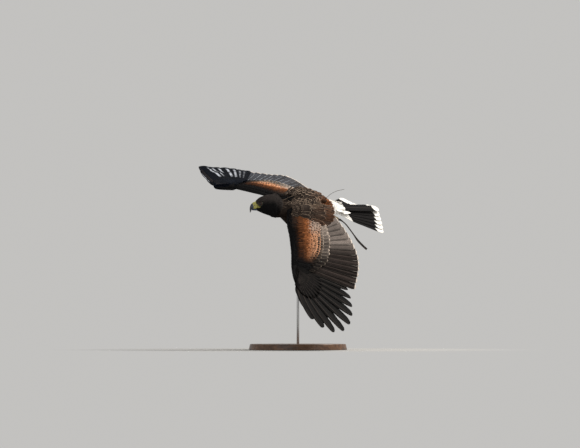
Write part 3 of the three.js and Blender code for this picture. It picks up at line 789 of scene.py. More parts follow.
class Vane:
    """The master of a feather: across from -1 to 1, along from 0 to 1 and two faces."""

    def __init__(self, columns, rows, outline, ridge=0.0):
        deselect()
        bpy.ops.mesh.primitive_grid_add(x_subdivisions=columns, y_subdivisions=rows, size=2)
        obj = bpy.context.object
        modify(obj, "SOLIDIFY", thickness=2, offset=0)
        flat = vertices_of(obj)
        self.u, self.face = flat[:, 0], np.sign(flat[:, 2])
        self.v = 1 - (1 - (flat[:, 1] + 1) / 2) ** ROWS_TO_TIP
        self.x = self.u * outline(self.v)
        on_shaft = (np.abs(self.u) < SHAFT_SHARE) * (self.face > 0)
        self.ridge = ridge * on_shaft * (1 - 0.7 * self.v)
        self.quads = np.array([list(p.vertices) for p in obj.data.polygons])
        bpy.data.objects.remove(obj)


def round_outline(blunt, root):
    """Widths of a vane: narrow at its root, full at two fifths and round past blunt."""

    def outline(v):
        tip = np.sqrt(np.clip(1 - (np.clip(v - blunt, 0, 1) / (1 - blunt)) ** 2, 0.02, 1))
        return mix(root, 1, smooth(0, 0.4, v)) * tip

    return outline


# %% [markdown]
# A coat is a list of feathers until all of them are laid, then one mesh. Each feather could be
# an object, but there are thousands. A feather keeps its own colours in its vertices and its
# own patch of the unwrap, so no two have to look alike.

# %% A coat of feathers
PATCH = 0.003  # side of the patch of the unwrap that each small feather takes


class Coat:
    """Many feathers in one mesh, with their colours and their patch of the skin's unwrap."""

    def __init__(self):
        self.parts = []
        self.count = 0

    def lay(self, vane, root, along, face, length, inner, outer=None, *, tint, fringe, bake,
            patch=PATCH, marks=(0, 0, 0), lift=0.0, sag=0.0, roll=0.0, arch=0.0, camber=0.12,
            thick=0.25, side=None, reshape=None):
        """Feathers from roots along their lines, in millimetres in the bird's frame.

        lift raises the tips, sag bends them back and arch bows them sideways, as shares of the
        length. outer is the half width on the side that side points to, and roll lifts that
        edge, in degrees. bake is the corner of a feather's patch and patch its size. marks are
        the width of its rim and the strengths of its spot and its shaft; on flight feathers the
        spot's strength is that of a painted sheen instead.
        """
        root = np.atleast_2d(root)
        count = len(root)

        def each(value, width=1):
            value = np.asarray(value, float)
            if width == 1:
                return np.broadcast_to(value.reshape(-1, 1) if value.ndim else value, (count, 1))
            return np.broadcast_to(value, (count, width))

        along, face = unit(each(along, 3)), each(face, 3)
        face = unit(face - along * np.sum(face * along, 1, keepdims=True))
        across = np.cross(along, face) if side is None else each(side, 3)
        across = unit(across - along * np.sum(across * along, 1, keepdims=True))
        face = unit(face - across * np.sum(face * across, 1, keepdims=True))
        length, inner = each(length), each(inner)
        outer = inner if outer is None else each(outer)
        u, v = vane.x[None, :], vane.v[None, :]
        wide = np.where(u > 0, outer, inner) * u
        if reshape is not None:
            wide = wide * reshape(vane.u, vane.v, count)
        rolled_up = np.radians(each(roll))
        high = np.abs(wide) * -each(camber) * np.abs(u) + wide * np.sin(rolled_up)
        high = high + length * (each(lift) * v - each(sag) * v**2)
        high = high + each(thick) * (vane.face * (1 - 0.6 * vane.v) + vane.ridge)[None, :]
        bow = each(arch) * length * np.sin(np.pi * v)
        points = (
            root[:, None]
            + along[:, None] * (length * v)[..., None]
            + across[:, None] * (wide * np.cos(rolled_up) + bow)[..., None]
            + face[:, None] * high[..., None]
        )
        size = each(patch, 2)
        spread = np.stack(np.broadcast_arrays(vane.u / 2, vane.v), -1)[None]
        mirrored = np.sum(np.cross(across, along) * face, 1) < 0
        quads = np.where(mirrored[:, None, None], vane.quads[None, :, ::-1], vane.quads[None])
        quads = quads + (np.arange(count) * len(vane.u))[:, None, None]
        self.parts.append({
            "points": points.reshape(-1, 3),
            "quads": quads.reshape(-1, 4),
            "vane": np.tile(np.stack([vane.u / 2 + 0.5, vane.v], 1), (count, 1)),
            "bake": (each(bake, 2)[:, None] + size[:, None] * spread).reshape(-1, 2),
            "tint": np.repeat(each(tint, 3), len(vane.u), 0),
            "fringe": np.repeat(each(fringe, 3), len(vane.u), 0),
            "marks": np.repeat(each(marks, 3), len(vane.u), 0),
        })
        self.count += count

    def build(self, name, material):
        """The mesh of all that was laid, under the name of its piece."""
        sizes = np.cumsum([0] + [len(part["points"]) for part in self.parts])
        points = np.concatenate([part["points"] for part in self.parts])
        quads = np.concatenate([part["quads"] + start for part, start in zip(self.parts, sizes)])
        mesh = bpy.data.meshes.new(name)
        mesh.vertices.add(len(points))
        mesh.vertices.foreach_set("co", on_floor(points).ravel())
        mesh.loops.add(quads.size)
        mesh.loops.foreach_set("vertex_index", quads.ravel().astype(np.int32))
        mesh.polygons.add(len(quads))
        mesh.polygons.foreach_set("loop_start", np.arange(0, quads.size, 4, dtype=np.int32))
        mesh.update(calc_edges=True)
        for layer, key in (("Vane", "vane"), ("OFBake", "bake")):
            values = np.concatenate([part[key] for part in self.parts])
            uv = mesh.uv_layers.new(name=layer)
            uv.uv.foreach_set("vector", values[quads.ravel()].astype(np.float32).ravel())
        for key in ("tint", "fringe", "marks"):
            values = np.concatenate([part[key] for part in self.parts])
            values = np.column_stack([values, np.ones(len(values))])
            layer = mesh.color_attributes.new(key, "FLOAT_COLOR", "POINT")
            layer.data.foreach_set("color", values.astype(np.float32).ravel())
        mesh.polygons.foreach_set("use_smooth", np.ones(len(quads), bool))
        mesh.materials.append(material)
        obj = bpy.data.objects.new(name, mesh)
        bpy.context.scene.collection.objects.link(obj)
        check_outward(obj)
        print(name, self.count, "feathers,", 2 * len(quads), "triangles")
        return obj


def check_outward(obj):
    """Turns a mesh round if its faces point inwards, by the sign of its volume."""
    shape = bmesh.new()
    shape.from_mesh(obj.data)
    if shape.calc_volume(signed=True) < 0:
        bmesh.ops.reverse_faces(shape, faces=shape.faces)
        shape.to_mesh(obj.data)
    shape.free()


# %% [markdown]
# All plumage takes one kind of finish. The colour of each vane, of its edge and the strength
# of its marks are kept in the mesh, feather by feather, and the pattern itself follows the
# vane: a pale rim, a dark spot near the tip, the shaft, and the fine slanting barbs. Flight
# feathers also get painted shade along their edges, and in place of the spot ragged streaks
# of painted sheen. A picture of feathers would be quicker, but it would be the same on all
# of them.


# %% The plumage's finish
# PAINTED_SHEEN is a painted highlight: the pale colour of the glinting streaks on flight feathers
PAINTED_SHEEN = (0.74, 0.78, 0.86)
SPOT = (0.012, 0.009, 0.008)
SHAFT = (0.13, 0.10, 0.085)
GLINT_STREAKS_AT = (0.12, 0.80)  # across a vane, from its inner edge


def vane_pattern(material, aspect):
    """Sockets for the place across and along a vane, and how near its shaft and edge that is."""
    split = add(material, "SeparateXYZ", add(material, "UVMap", uv_map="Vane").outputs[0])
    across, along = split.outputs[0], split.outputs[1]
    side = maths(material, "ABSOLUTE", maths(material, "MULTIPLY_ADD", across, 2.0, -1.0))
    from_tip = product(material, maths(material, "SUBTRACT", 1.0, along), aspect)
    edge = maths(material, "MAXIMUM", side, maths(material, "SUBTRACT", 1.0, from_tip))
    return across, along, side, edge


def glint_streak_of(material, across, along, cloud):
    """How far a place lies in the ragged streaks of painted sheen on both webs."""
    inner, outer = (
        maths(material, "ABSOLUTE", maths(material, "SUBTRACT", across, at)) for at in GLINT_STREAKS_AT
    )
    near = ranged(material, maths(material, "MINIMUM", inner, outer), 0.050, 0.022)
    starts = ranged(material, along, 0.42, 0.50)
    ends = ranged(material, along, 0.90, 0.82)
    return product(material, near, ranged(material, cloud, 0.32, 0.46), starts, ends)


def plumage(name, aspect, barbs, roughness, flight=False):
    """The finish of a coat piece. aspect is a vane's length in half widths.

    A flight feather's pale rim is strong only at its tip, it has painted shade along both
    edges, and its second mark is a painted highlight: a ragged streak of sheen on each web in
    place of a dark spot.
    """
    made = finish(name, Roughness=roughness, Specular_IOR_Level=0.015)
    across, along, side, edge = vane_pattern(made, aspect)
    tint, fringe = kept(made, "tint", "Color"), kept(made, "fringe", "Color")
    rim_width, spot, shaft = add(made, "SeparateXYZ", kept(made, "marks", "Vector")).outputs
    slant = maths(made, "MULTIPLY_ADD", side, -0.22, along)
    wave = maths(made, "SINE", product(made, slant, barbs * 2 * math.pi))
    grain = noise(made, 900.0, Detail=2.0)
    cloud = noise(made, 60.0, Detail=3.0)
    # the rim fades in over the first part of its width
    start = maths(made, "SUBTRACT", 1.0, rim_width)
    rim = ranged(made, edge, start, maths(made, "MULTIPLY_ADD", rim_width, -0.45, 1.0))
    rim = product(made, rim, maths(made, "GREATER_THAN", rim_width, 0.01))
    if flight:
        rim = product(made, rim, ranged(made, along, 0.84, 0.95, 0.22, 1.0))
        # on flight feathers the second mark is a painted highlight, a streak of sheen, not a spot
        marked = product(made, glint_streak_of(made, across, along, cloud), spot)
    else:
        near_tip, inside = ranged(made, along, 0.56, 0.66), ranged(made, edge, 0.62, 0.46)
        marked = product(made, near_tip, inside, spot)
    on_shaft = product(made, maths(made, "LESS_THAN", side, 0.05), shaft)
    light = maths(made, "MULTIPLY_ADD", wave, 0.07, maths(made, "MULTIPLY_ADD", grain, 0.5, 0.75))
    light = product(made, light, maths(made, "MULTIPLY_ADD", cloud, 0.6, 0.7))
    if flight:
        # painted shade: each flight feather darkens towards both edges, where its neighbours
        # overlap it
        shadow = ranged(made, side, 0.40, 0.95, 1.0, 0.5)
        light = product(made, light, maths(made, "MAXIMUM", shadow, rim))
    colour = mixed(made, marked, tint, PAINTED_SHEEN if flight else SPOT)
    colour = mixed(made, rim, colour, fringe)
    colour = shaded(made, mixed(made, on_shaft, colour, SHAFT), light)
    relief = maths(made, "MULTIPLY_ADD", wave, 0.5, product(made, grain, 0.6))
    paint(made, colour, relief, depth=0.0003, strength=0.5)
    return made


coat_finish = plumage("plumage_body", aspect=3.6, barbs=16, roughness=0.75)
covert_finish = plumage("plumage_coverts", aspect=4.4, barbs=22, roughness=0.65)
flight_finish = plumage("plumage_flight", aspect=5.0, barbs=70, roughness=0.5, flight=True)
print("a feather's finish has", len(flight_finish.node_tree.nodes), "nodes")

# %% [markdown]
# A Harris hawk is dark brown with chestnut shoulders and thighs and a white tail root. One
# brown for all would be simpler, but its coat lives from edges paler than the middle, so each
# kind has a tint and an edge. Five vanes, from tiny to long, are enough for every feather.

# %% Colours and vanes
DARK_BROWN = np.array([0.0070, 0.0068, 0.0070])
CROWN = np.array([0.034, 0.029, 0.027])
MANTLE = np.array([0.034, 0.025, 0.020])
BUFF = np.array([0.36, 0.27, 0.20])
CHOCOLATE = np.array([0.018, 0.012, 0.009])
RUFOUS = np.array([0.36, 0.125, 0.043])
CHESTNUT = np.array([0.155, 0.052, 0.022])
WHITE = np.array([0.80, 0.78, 0.74])
EYE_PLACE = np.array([13.5, 12.9, 7.0])
BARE_ROUND_EYE = 8.2

tiny_vane = Vane(3, 4, round_outline(0.55, 0.5))
small_vane = Vane(4, 6, round_outline(0.68, 0.5))
covert_vane = Vane(6, 10, round_outline(0.80, 0.35), ridge=0.5)
flight_vane = Vane(10, 18, round_outline(0.93, 0.16), ridge=2.2)
primary_vane = Vane(10, 20, round_outline(0.74, 0.16), ridge=2.2)
print("corners of the largest vane:", len(primary_vane.v))

# %% [markdown]
# The small feathers of head, neck and trunk stand in rows round the body, each row half a
# step beside the last as tiles on a roof. They could be scattered at random, but then gaps
# and clumps would show. They are tiny on the face and grow towards the back. The bare skin
# round the eye and behind the bill stays free.


# %% Where the feathers of head and trunk stand
def outward(a, b, reference):
    """The normal across two directions, turned to the side of the reference."""
    normal = unit(np.cross(a, b))
    return normal * np.sign(np.sum(normal * reference, -1, keepdims=True))


def varied(colour, count, amount=0.16):
    """A colour for each feather, a little lighter or darker than its neighbours."""
    lighter = (1 + amount * rng.standard_normal((count, 1))).clip(0.5, 1.6)
    return np.broadcast_to(colour, (count, 3)) * lighter


def blend(a, b, t):
    return mix(np.asarray(a), np.asarray(b), np.asarray(t)[..., None])


def feather_size(s):
    """The width of a body feather: tiny on the face, large on the back."""
    return np.interp(s, [0, 3, 5, 6.5, 8.5, 10, 14], [2.1, 2.5, 3.1, 4.6, 8.0, 11.0, 11.0])


BESIDE, BEHIND = 0.74, 0.72  # steps between feathers and between rows, in feather widths


def body_roots():
    """Ring place, angle and width of each feather of head and trunk."""
    found = []
    s, row = 0.15, 0
    while s < len(RINGS) - 1.6:
        size = feather_size(s)
        ring = body_at(s, np.linspace(0, 2 * np.pi, 25))
        around = np.linalg.norm(np.diff(ring, axis=0), axis=1).sum()
        count = int(around / (size * BESIDE))
        angles = (np.arange(count) + 0.5 * (row % 2)) * 2 * np.pi / count
        angles += rng.normal(0, 0.12 * 2 * np.pi / count, count)
        angles = angles % (2 * np.pi)
        found.append(rows_of(s, angles, size))
        step = np.linalg.norm(body_at(s + 0.1, np.pi / 2) - body_at(s, np.pi / 2))
        step = (step + np.linalg.norm(body_at(s + 0.1, 0.0) - body_at(s, 0.0))) / 2
        s += 0.1 * size * BEHIND / step
        row += 1
    return np.concatenate(found)


def bare_face(points):
    """True where the yellow skin round eye and bill is bare."""
    local = (points - SKULL) @ HEAD_TURN
    local[:, 1] = np.abs(local[:, 1])
    eye = np.linalg.norm(local - EYE_PLACE, axis=1) < BARE_ROUND_EYE
    lores = (local[:, 0] > 15.5) & (local[:, 2] < 8.5) & (local[:, 2] > -5.5)
    return eye | lores


BODY_ROOTS = body_roots()
print("feathers on head and trunk:", len(BODY_ROOTS))

# %% [markdown]
# The crown is a little paler than the face, whose darkness is partly painted shade, and the
# mantle's feathers have buff edges. On the lower back chestnut comes in feather by feather,
# and round the tail's root the coat is white. A gradient over the whole body would be
# simpler, but every change would be a straight band.


# %% The coat of head and trunk
def body_colours(s, angle):
    """Tint, edge and marks of the coat of head and trunk.

    Places along the rings are its steps: the neck ends at 9, the lower back starts at 11 and
    the white rump at 13.
    """
    count = len(s)
    back = smooth(-0.1, 0.55, np.sin(angle))
    # the face and throat are darker than the crown: partly their own colour, partly painted shade
    head = blend(DARK_BROWN, CROWN, smooth(0.10, 0.75, np.sin(angle)))
    trunk = blend(CHOCOLATE, MANTLE, back)
    rufous = back * smooth(11.2, 13.2, s) * (0.45 + 0.55 * rng.random(count))
    trunk = blend(trunk, RUFOUS * 0.45, rufous * 0.7)
    tint = blend(head, trunk, smooth(6.4, 9.0, s))
    white = smooth(13.3, 13.7, s + rng.normal(0, 0.1, count))
    tint = blend(tint, WHITE, white)
    fringe = blend(BUFF, RUFOUS * 0.8, rufous)
    fringe = blend(tint * 1.35, fringe, back * smooth(6.8, 9.4, s) * (1 - white))
    fringe = fringe * rng.uniform(0.45, 1.2, (count, 1))
    width = mix(0.1, 0.22, smooth(7, 8.5, s)) * mix(1, 0.3, white) * rng.uniform(0.6, 1.2, count)
    return varied(tint, count), fringe, rows_of(width, 0.45 * (s > 8) * (1 - white), 0)


SMALL_STEP = 1e-3


def lay_body(coat, vane, first, last):
    """The feathers whose roots lie between two ring places."""
    s, angle, spacing = BODY_ROOTS.T
    roots = body_at(s, angle, -coat_depth(s))
    wanted = ~bare_face(body_at(s, angle)) & (s >= first) & (s < last)
    s, angle, spacing, roots = s[wanted], angle[wanted], spacing[wanted], roots[wanted]
    here = body_at(s, angle)
    along = unit(body_at(s + SMALL_STEP, angle) - here)
    around = unit(body_at(s, angle + SMALL_STEP) - here)
    centre = spline(RING_AT, RINGS, s)[:, :3]
    face = outward(along, around, roots - centre)
    along = along + around * rng.normal(0, 0.10, (len(s), 1))
    tint, fringe, marks = body_colours(s, angle)
    depth = coat_depth(s)
    length = spacing * np.interp(s, [0, 6, 9], [2.7, 3.3, 2.9]) * rng.uniform(0.9, 1.12, len(s))
    full = 0.02 * smooth(0.2, 0.9, np.sin(angle)) * smooth(4.5, 6.0, s) * (1 - smooth(8.0, 10, s))
    coat.lay(
        vane, roots, along, face, length, spacing * 0.62,
        lift=depth / length * 1.45 + 0.03 + full, sag=depth / length * 0.6 + 0.04 + full * 0.3,
        roll=4, camber=0.22, thick=0.18, tint=tint, fringe=fringe, marks=marks,
        bake=rows_of(0.02 + 0.95 * s / len(RINGS), 0.02 + 0.95 * angle / (2 * np.pi)),
    )


# %% [markdown]
# The brow is a ridge of its own with its own tiny feathers, which gives the hawk its frown.
# On the bare lores stand only bristles. Both belong to the piece of the head, so that its coat
# is one mesh.


# %% Brow and bristles, and the coat's pieces
def staggered(rows, places):
    """Row and place of each feather in a field, every other row half a step further on."""
    v, u = np.meshgrid(rows, places, indexing="ij")
    half = 0.5 / len(places)
    return v.ravel(), (u + half * (np.arange(len(rows)) % 2)[:, None]).ravel()


def lay_brow(coat, sign):
    """Tiny feathers on the brow, over the eye and beside it."""
    v, u = staggered(np.linspace(0.03, 0.9, 15), np.linspace(0, 1, 12, endpoint=False))
    at = brow_at(sign, -0.6)
    roots = at(u, v)
    ahead, beside = at(u, v + 0.02), at(u + 0.02, v)
    centre = brow_at(sign, -9.0)(u, v)
    coat.lay(
        tiny_vane, roots, ahead - roots, outward(ahead - roots, beside - roots, roots - centre),
        5.5, 1.3, lift=0.25, sag=0.2, tint=varied(CROWN * 0.7, len(u)),
        fringe=CROWN, marks=(0.1, 0, 0), bake=rows_of(0.2 + 0.05 * v, 0.2 + 0.05 * (u % 1)),
    )


def lay_bristles(coat, sign):
    """Fine dark bristles on the bare lores, pointing up and back."""
    x, z = np.meshgrid(np.linspace(18.0, 25.0, 7), np.linspace(-4.0, 8.0, 10), indexing="ij")
    x, z = x.ravel() + rng.normal(0, 0.35, x.size), z.ravel() + rng.normal(0, 0.35, x.size)
    rings, _, widths, heights = zip(*SKULL_RINGS[2::-1])
    w, h = np.interp(x, rings, widths), np.interp(x, rings, heights)
    y = sign * (w - 1.4) * np.sqrt(np.clip(1 - (z / h) ** 2, 0.05, 1))
    count = len(x)
    along = np.array([-0.8, sign * 0.45, 0.5]) + rng.normal(0, 0.12, (count, 3))
    coat.lay(
        tiny_vane, in_head(rows_of(x, y, z)), along @ HEAD_TURN.T,
        np.array([0.3, sign, 0.0]) @ HEAD_TURN.T, rng.uniform(2.4, 3.8, count), 0.15, lift=0.2,
        sag=0.2, thick=0.07, tint=DARK_BROWN, fringe=DARK_BROWN, bake=(0.05, 0.3),
    )


for name, vane, first, last in (
    ("head", tiny_vane, 0, 5.1),
    ("neck", small_vane, 5.1, 8.6),
    ("body", small_vane, 8.6, 11.3),
    ("rump", small_vane, 11.3, len(RINGS)),
):
    body_coat = Coat()
    lay_body(body_coat, vane, first, last)
    if name == "head":
        for sign in SIDES.values():
            lay_brow(body_coat, sign)
            lay_bristles(body_coat, sign)
    keep(body_coat.build("plumage_" + name, coat_finish), "plumage")

# %% [markdown]
# The thighs wear loose chestnut trousers. They could be left to the skin, being mostly hidden,
# but from below they show. Their feathers lie down along the leg in the same half steps, round
# the same limb that shaped the skin.


# %% The coat of the thighs
def lay_thigh(coat, sign):
    spine = np.array(THIGH) * [1, sign, 1]
    at = limb_at(spine, THIGH_RADII, -3)
    v, u = staggered(np.linspace(0.02, 0.9, 20), np.arange(26) / 26)
    roots = at(u, v)
    along = unit(at(u, v + 0.02) - roots)
    centre = spline(np.arange(len(spine)), spine, v * (len(spine) - 1))
    face = outward(along, at(u + 0.02, v) - roots, roots - centre)
    count = len(u)
    coat.lay(
        small_vane, roots, along, face, mix(21.0, 11.0, v) * rng.uniform(0.9, 1.1, count),
        mix(5.2, 2.4, v), lift=0.18, sag=0.14, camber=0.25, roll=4,
        tint=varied(CHESTNUT, count), fringe=varied(CHESTNUT * 1.5, count),
        marks=(0.2, 0.1, 0), bake=rows_of(0.02 + 0.95 * v, 0.02 + 0.95 * (u % 1)),
    )


for side, sign in SIDES.items():
    thigh_coat = Coat()
    lay_thigh(thigh_coat, sign)
    keep(thigh_coat.build("plumage_thigh_" + side, coat_finish), "leg_feathers")

# %% [markdown]
# The lesser coverts tile the front of the arm, chestnut with a dark spot near each tip, and
# darker at the leading edge and short of the wrist, partly their own colour and partly
# painted shade. The underside is plainer and chestnut.
# They could all point straight back, but on the bird they turn towards the lines of the
# flight feathers behind them, so each direction is a mix of the two.

# %% The lesser coverts
MEDIAN = np.array([0.105, 0.078, 0.060])
GREATER = np.array([0.085, 0.070, 0.060])
PALE_RIM = np.array([0.66, 0.54, 0.44])
PALE_RUFOUS = np.array([0.60, 0.30, 0.167])
GREY_BUFF = np.array([0.40, 0.325, 0.275])
# the right hand's blue is painted light: a reflection of the sky on the far wing
HAND_DARK = {
    "left": np.array([0.0048, 0.0043, 0.0042]),
    "right": np.array([0.0034, 0.0048, 0.0085]),
}
ARM_ROWS_BACK = 0.70  # share of the arm's chord that the lesser coverts tile


def lesser_tint(t, back):
    """How chestnut the lesser coverts are: dark at the leading edge and short of the wrist."""
    edge = mix(0.04, 0.10, t)
    return smooth(edge, edge + 0.34, back) * (1 - smooth(0.74, 0.92, t)) * smooth(-0.2, 0.0, t)


def lay_arm_rows(coat, wing, under):
    """Lesser coverts in rows from the leading edge back."""
    reach = wing.pose["wrist"][0]
    up = wing.arm_dir(0, 0, -1 if under else 1)
    back, row = 0.0, 0
    inner = -0.2 if under else -0.11
    while back < ARM_ROWS_BACK:
        size = mix(5.2, 8.4, min(1, back / 0.45))
        count = int((1.06 - inner) * reach / (size * 0.84))
        step = np.arange(count) + 0.5 * (row % 2) + rng.normal(0, 0.2, count)
        t = mix(inner, 1.06, step / count)
        places = back + rng.normal(0, 0.010, count)
        roots = wing.arm_skin(t, places.clip(0, 1), under, -1.2)
        ahead = wing.arm_skin(t, places.clip(0, 1) + 0.04, under, -1.2)
        inner_root, tip = wing.secondary(1 - t.clip(0, 1))
        along = unit(ahead - roots) * 0.75 + unit(tip - inner_root) * 0.6
        rufous = lesser_tint(t, back)
        if under:
            warm = smooth(0.10, 0.3, back) * (1 - smooth(0.75, 0.92, t))
            tint = varied(blend(DARK_BROWN, CHESTNUT, warm), count, 0.14)
            spot, fringe = 0.2, tint * 1.4
        else:
            # painted shade: the chestnut darkens towards the leading edge and the wrist, where the
            # wing turns from the light
            lit = mix(0.22, 1.0, smooth(0.08, 0.46, back + 0.12 * (0.5 - t)))
            lit = lit * mix(1, 0.6, smooth(0.5, 0.9, t))
            dark = blend(MANTLE, DARK_BROWN, smooth(0.0, 0.3, t))
            chestnut = blend(RUFOUS, PALE_RUFOUS, smooth(0.34, 0.56, back))
            tint = blend(dark, chestnut * lit[:, None], rufous)
            greyer = smooth(0.36, 0.48, back + 0.10 * (0.2 - t)) * (1 - smooth(0.18, 0.42, t))
            tint = varied(blend(tint, GREY_BUFF, greyer * 0.8), count, 0.14)
            spot = smooth(0.26, 0.36, back + 0.1 * smooth(0.5, 0.8, t)) * rufous
            spot = spot * rng.uniform(0.3, 1, count)
            fringe = tint * 1.25
        coat.lay(
            small_vane, roots, along, up, size * rng.uniform(2.5, 2.9, count), size * 0.56,
            lift=0.12, sag=0.07, camber=0.18, roll=5, thick=0.2, tint=tint, fringe=fringe,
            marks=rows_of(0.2, spot, 0), bake=rows_of(0.02 + 0.6 * t.clip(0, 1), 0.02 + 0.4 * back),
        )
        back += size * 0.78 / 100
        row += 1


# %% [markdown]
# Behind them the coverts lie in tiers: median and greater ones, grey brown with a pale rim,
# and rufous ones over their roots. Each tier is laid along the lines of the secondaries, as
# on the bird, so that its edge curves with the wing. Rows at a fixed distance would be
# simpler, but would cut across those lines.

# %% The tiers on the arm
# share of a secondary that each tier reaches, from the wrist to the inmost
TIER_ALONG = [0, 0.12, 0.25, 0.5, 0.75, 1]
TIERS = {
    "greater": (0.27, 0.36, 0.43, 0.475, 0.51, 0.55),
    "median": (0.15, 0.23, 0.30, 0.35, 0.37, 0.39),
    "middle": (0.08, 0.155, 0.225, 0.28, 0.285, 0.27),
    "rufous": (0.04, 0.10, 0.165, 0.22, 0.205, 0.17),
}


RUFOUS_RIM = PALE_RUFOUS * 1.2
# tier, count, how far roots and tips stand off the wing's plane, width, tint, rim, its width,
# strength of the spot, share of a secondary at which the feathers begin
TIERS_OVER = (
    ("greater", 15, 3.2, 4.2, 19, GREATER, PALE_RIM, 0.20, 0.45, 0.0),
    ("median", 17, 5.4, 6.4, 16, MEDIAN, PALE_RIM * 0.8, 0.20, 0.7, 0.0),
    ("middle", 19, 6.8, 7.8, 14, MEDIAN, RUFOUS_RIM, 0.36, 1.0, 0.0),
    ("rufous", 20, 8.2, 9.2, 13, PALE_RUFOUS, RUFOUS_RIM, 0.3, 1.0, -0.1),
)
TIERS_UNDER = (
    ("greater", 17, 2.6, 3.4, 19, GREATER * 0.5, GREATER * 1.2, 0.1, 0.0, 0.0),
    ("median", 20, 5.0, 6.0, 15, CHESTNUT, CHESTNUT * 1.6, 0.2, 0.0, 0.0),
)


def lay_tier(coat, wing, under, tier, count, low, high, width, tint, rim, rim_width, spot, start):
    """One tier of coverts along the secondaries' lines."""
    u = np.linspace(0.1 if tier == "rufous" else -0.02, 0.99, count)
    root, tip = wing.secondary(u.clip(0, 1))
    end = np.interp(u, TIER_ALONG, TIERS[tier])[:, None] * rng.uniform(0.97, 1.03, (count, 1))
    up = wing.arm_dir(0, 0, -1 if under else 1)
    start = start * smooth(0.2, 0.5, u)[:, None]
    first = mix(root, tip, np.minimum(start, end - 0.12)) + up * low
    last = mix(root, tip, end) + up * high
    length = np.linalg.norm(last - first, axis=1)
    marks = rows_of(rim_width, spot * rng.uniform(0.75, 1.0, count), 0.1)
    # darker towards the wrist, rims too: partly the coverts' own darker colour, partly painted
    # shade where the wing turns from the light
    shade = blend(tint * 0.12, tint, smooth(0.20, 0.46, u))
    if tier != "rufous" and not under:
        shade = blend(shade, GREY_BUFF, 0.7 * smooth(0.6, 0.95, u))
    far_rim = rim * (0.2 if tier == "greater" else 0.03)
    rims = blend(far_rim, rim, smooth(0.16, 0.46, u)) * rng.uniform(0.35, 1.05, (count, 1))
    coat.lay(
        covert_vane, first, last - first, up, length, width * 0.56, width * 0.44,
        side=wing.arm_dir(1, 0), roll=7, sag=0.05, lift=0.05, camber=0.18, thick=0.28,
        tint=varied(shade, count, 0.14), fringe=rims, marks=marks,
        bake=rows_of(0.02 + 0.6 * (1 - u).clip(0, 1), 0.45 + 0.3 * end[:, 0]),
    )


# %% [markdown]
# Small dark feathers wrap the leading edge, and the hand has rows and tiers of its own along
# the primaries. On its front sits the thumb with three short feathers. A rounded strip would
# close the edge faster, but would show as a smooth line.

# %% The leading edge and the hand
# rows round the leading edge: how far back, whether under it, and how far they tilt up
EDGE_ROWS = (
    (0.06, True, -1.4),
    (0.02, True, -0.5),
    (0.004, True, 0.0),
    (0.004, False, 0.5),
    (0.03, False, 1.2),
)


def lay_edge(coat, wing):
    """Small dark feathers that wrap the leading edge from both sides, pointing out and back."""
    reach = wing.pose["wrist"][0]
    arm = (wing.arm_skin, wing.arm_dir, np.linspace(-0.12, 1.04, 62), 1 / reach)
    hand = (wing.hand_skin, wing.hand_dir, np.linspace(-10, 92, 34), 1.0)
    for skin_at, direction, at, millimetre in (arm, hand):
        for back, under, tilt in EDGE_ROWS:
            count = len(at)
            here = at + rng.normal(0, 0.8 * millimetre, count)
            roots = skin_at(here, back, under, -1.3)
            tips = skin_at(here + 4.5 * millimetre, back + 0.06, under, -1.3)
            coat.lay(
                tiny_vane, roots, tips - roots, direction(0, 1, tilt),
                rng.uniform(10, 12, count), 2.9, lift=0.10, sag=0.10, camber=0.2, thick=0.18,
                tint=varied(DARK_BROWN, count), fringe=DARK_BROWN * 1.5, marks=(0.15, 0, 0),
                bake=rows_of(0.02 + 0.9 * here * millimetre, 0).clip(0, 1),
            )


def lay_hand_rows(coat, wing, under):
    """Dark coverts in rows on the hand. The rearmost ones under it stand clear of the skin."""
    up = wing.hand_dir(0, 0, -1 if under else 1)
    for row, back in enumerate(np.linspace(0, 0.72, 7)):
        count = 18
        out = mix(-14, 92, (np.arange(count) + 0.5 * (row % 2)) / count)
        grow = mix(-1.0, 0.8, smooth(0.40, 0.65, back)) if under else -1.0
        roots = wing.hand_skin(out, back, under, grow)
        near = mix(9, 4, back) * (out / 92).clip(0, 1)
        root, tip, _ = wing.primary(near)
        ahead = wing.hand_skin(out, back + 0.06, under, grow)
        along = unit(ahead - roots) * 0.45 + unit(tip - root) * 0.8
        warm = smooth(0.1, 0.4, back) * (1 - smooth(0.45, 0.65, back)) * smooth(-8, 8, out)
        tint = varied(blend(HAND_DARK[wing.side], CHESTNUT * 0.35, warm * under), count)
        coat.lay(
            small_vane, roots, along, up, 25.0, 4.8, lift=0.10, sag=0.12,
            camber=0.2, roll=5, thick=0.2, tint=tint, fringe=tint * 1.6, marks=(0.16, 0, 0),
            bake=rows_of(0.65 + 0.3 * out.clip(0, 92) / 92, 0.02 + 0.4 * back),
        )


def pointed(u, v, count):
    """Draws a covert in towards its tip."""
    return np.broadcast_to(1 - 0.5 * smooth(0.5, 1.0, v), (count, len(v)))


# count, share of a primary, how far roots and tips stand off the hand's plane, width
HAND_TIERS_OVER = ((13, 0.42, 5.0, 3.6, 24), (14, 0.31, 7.5, 5.0, 21), (15, 0.21, 9.5, 6.5, 18))
HAND_TIER_UNDER = (14, 0.36, 3.2, 3.2, 22)


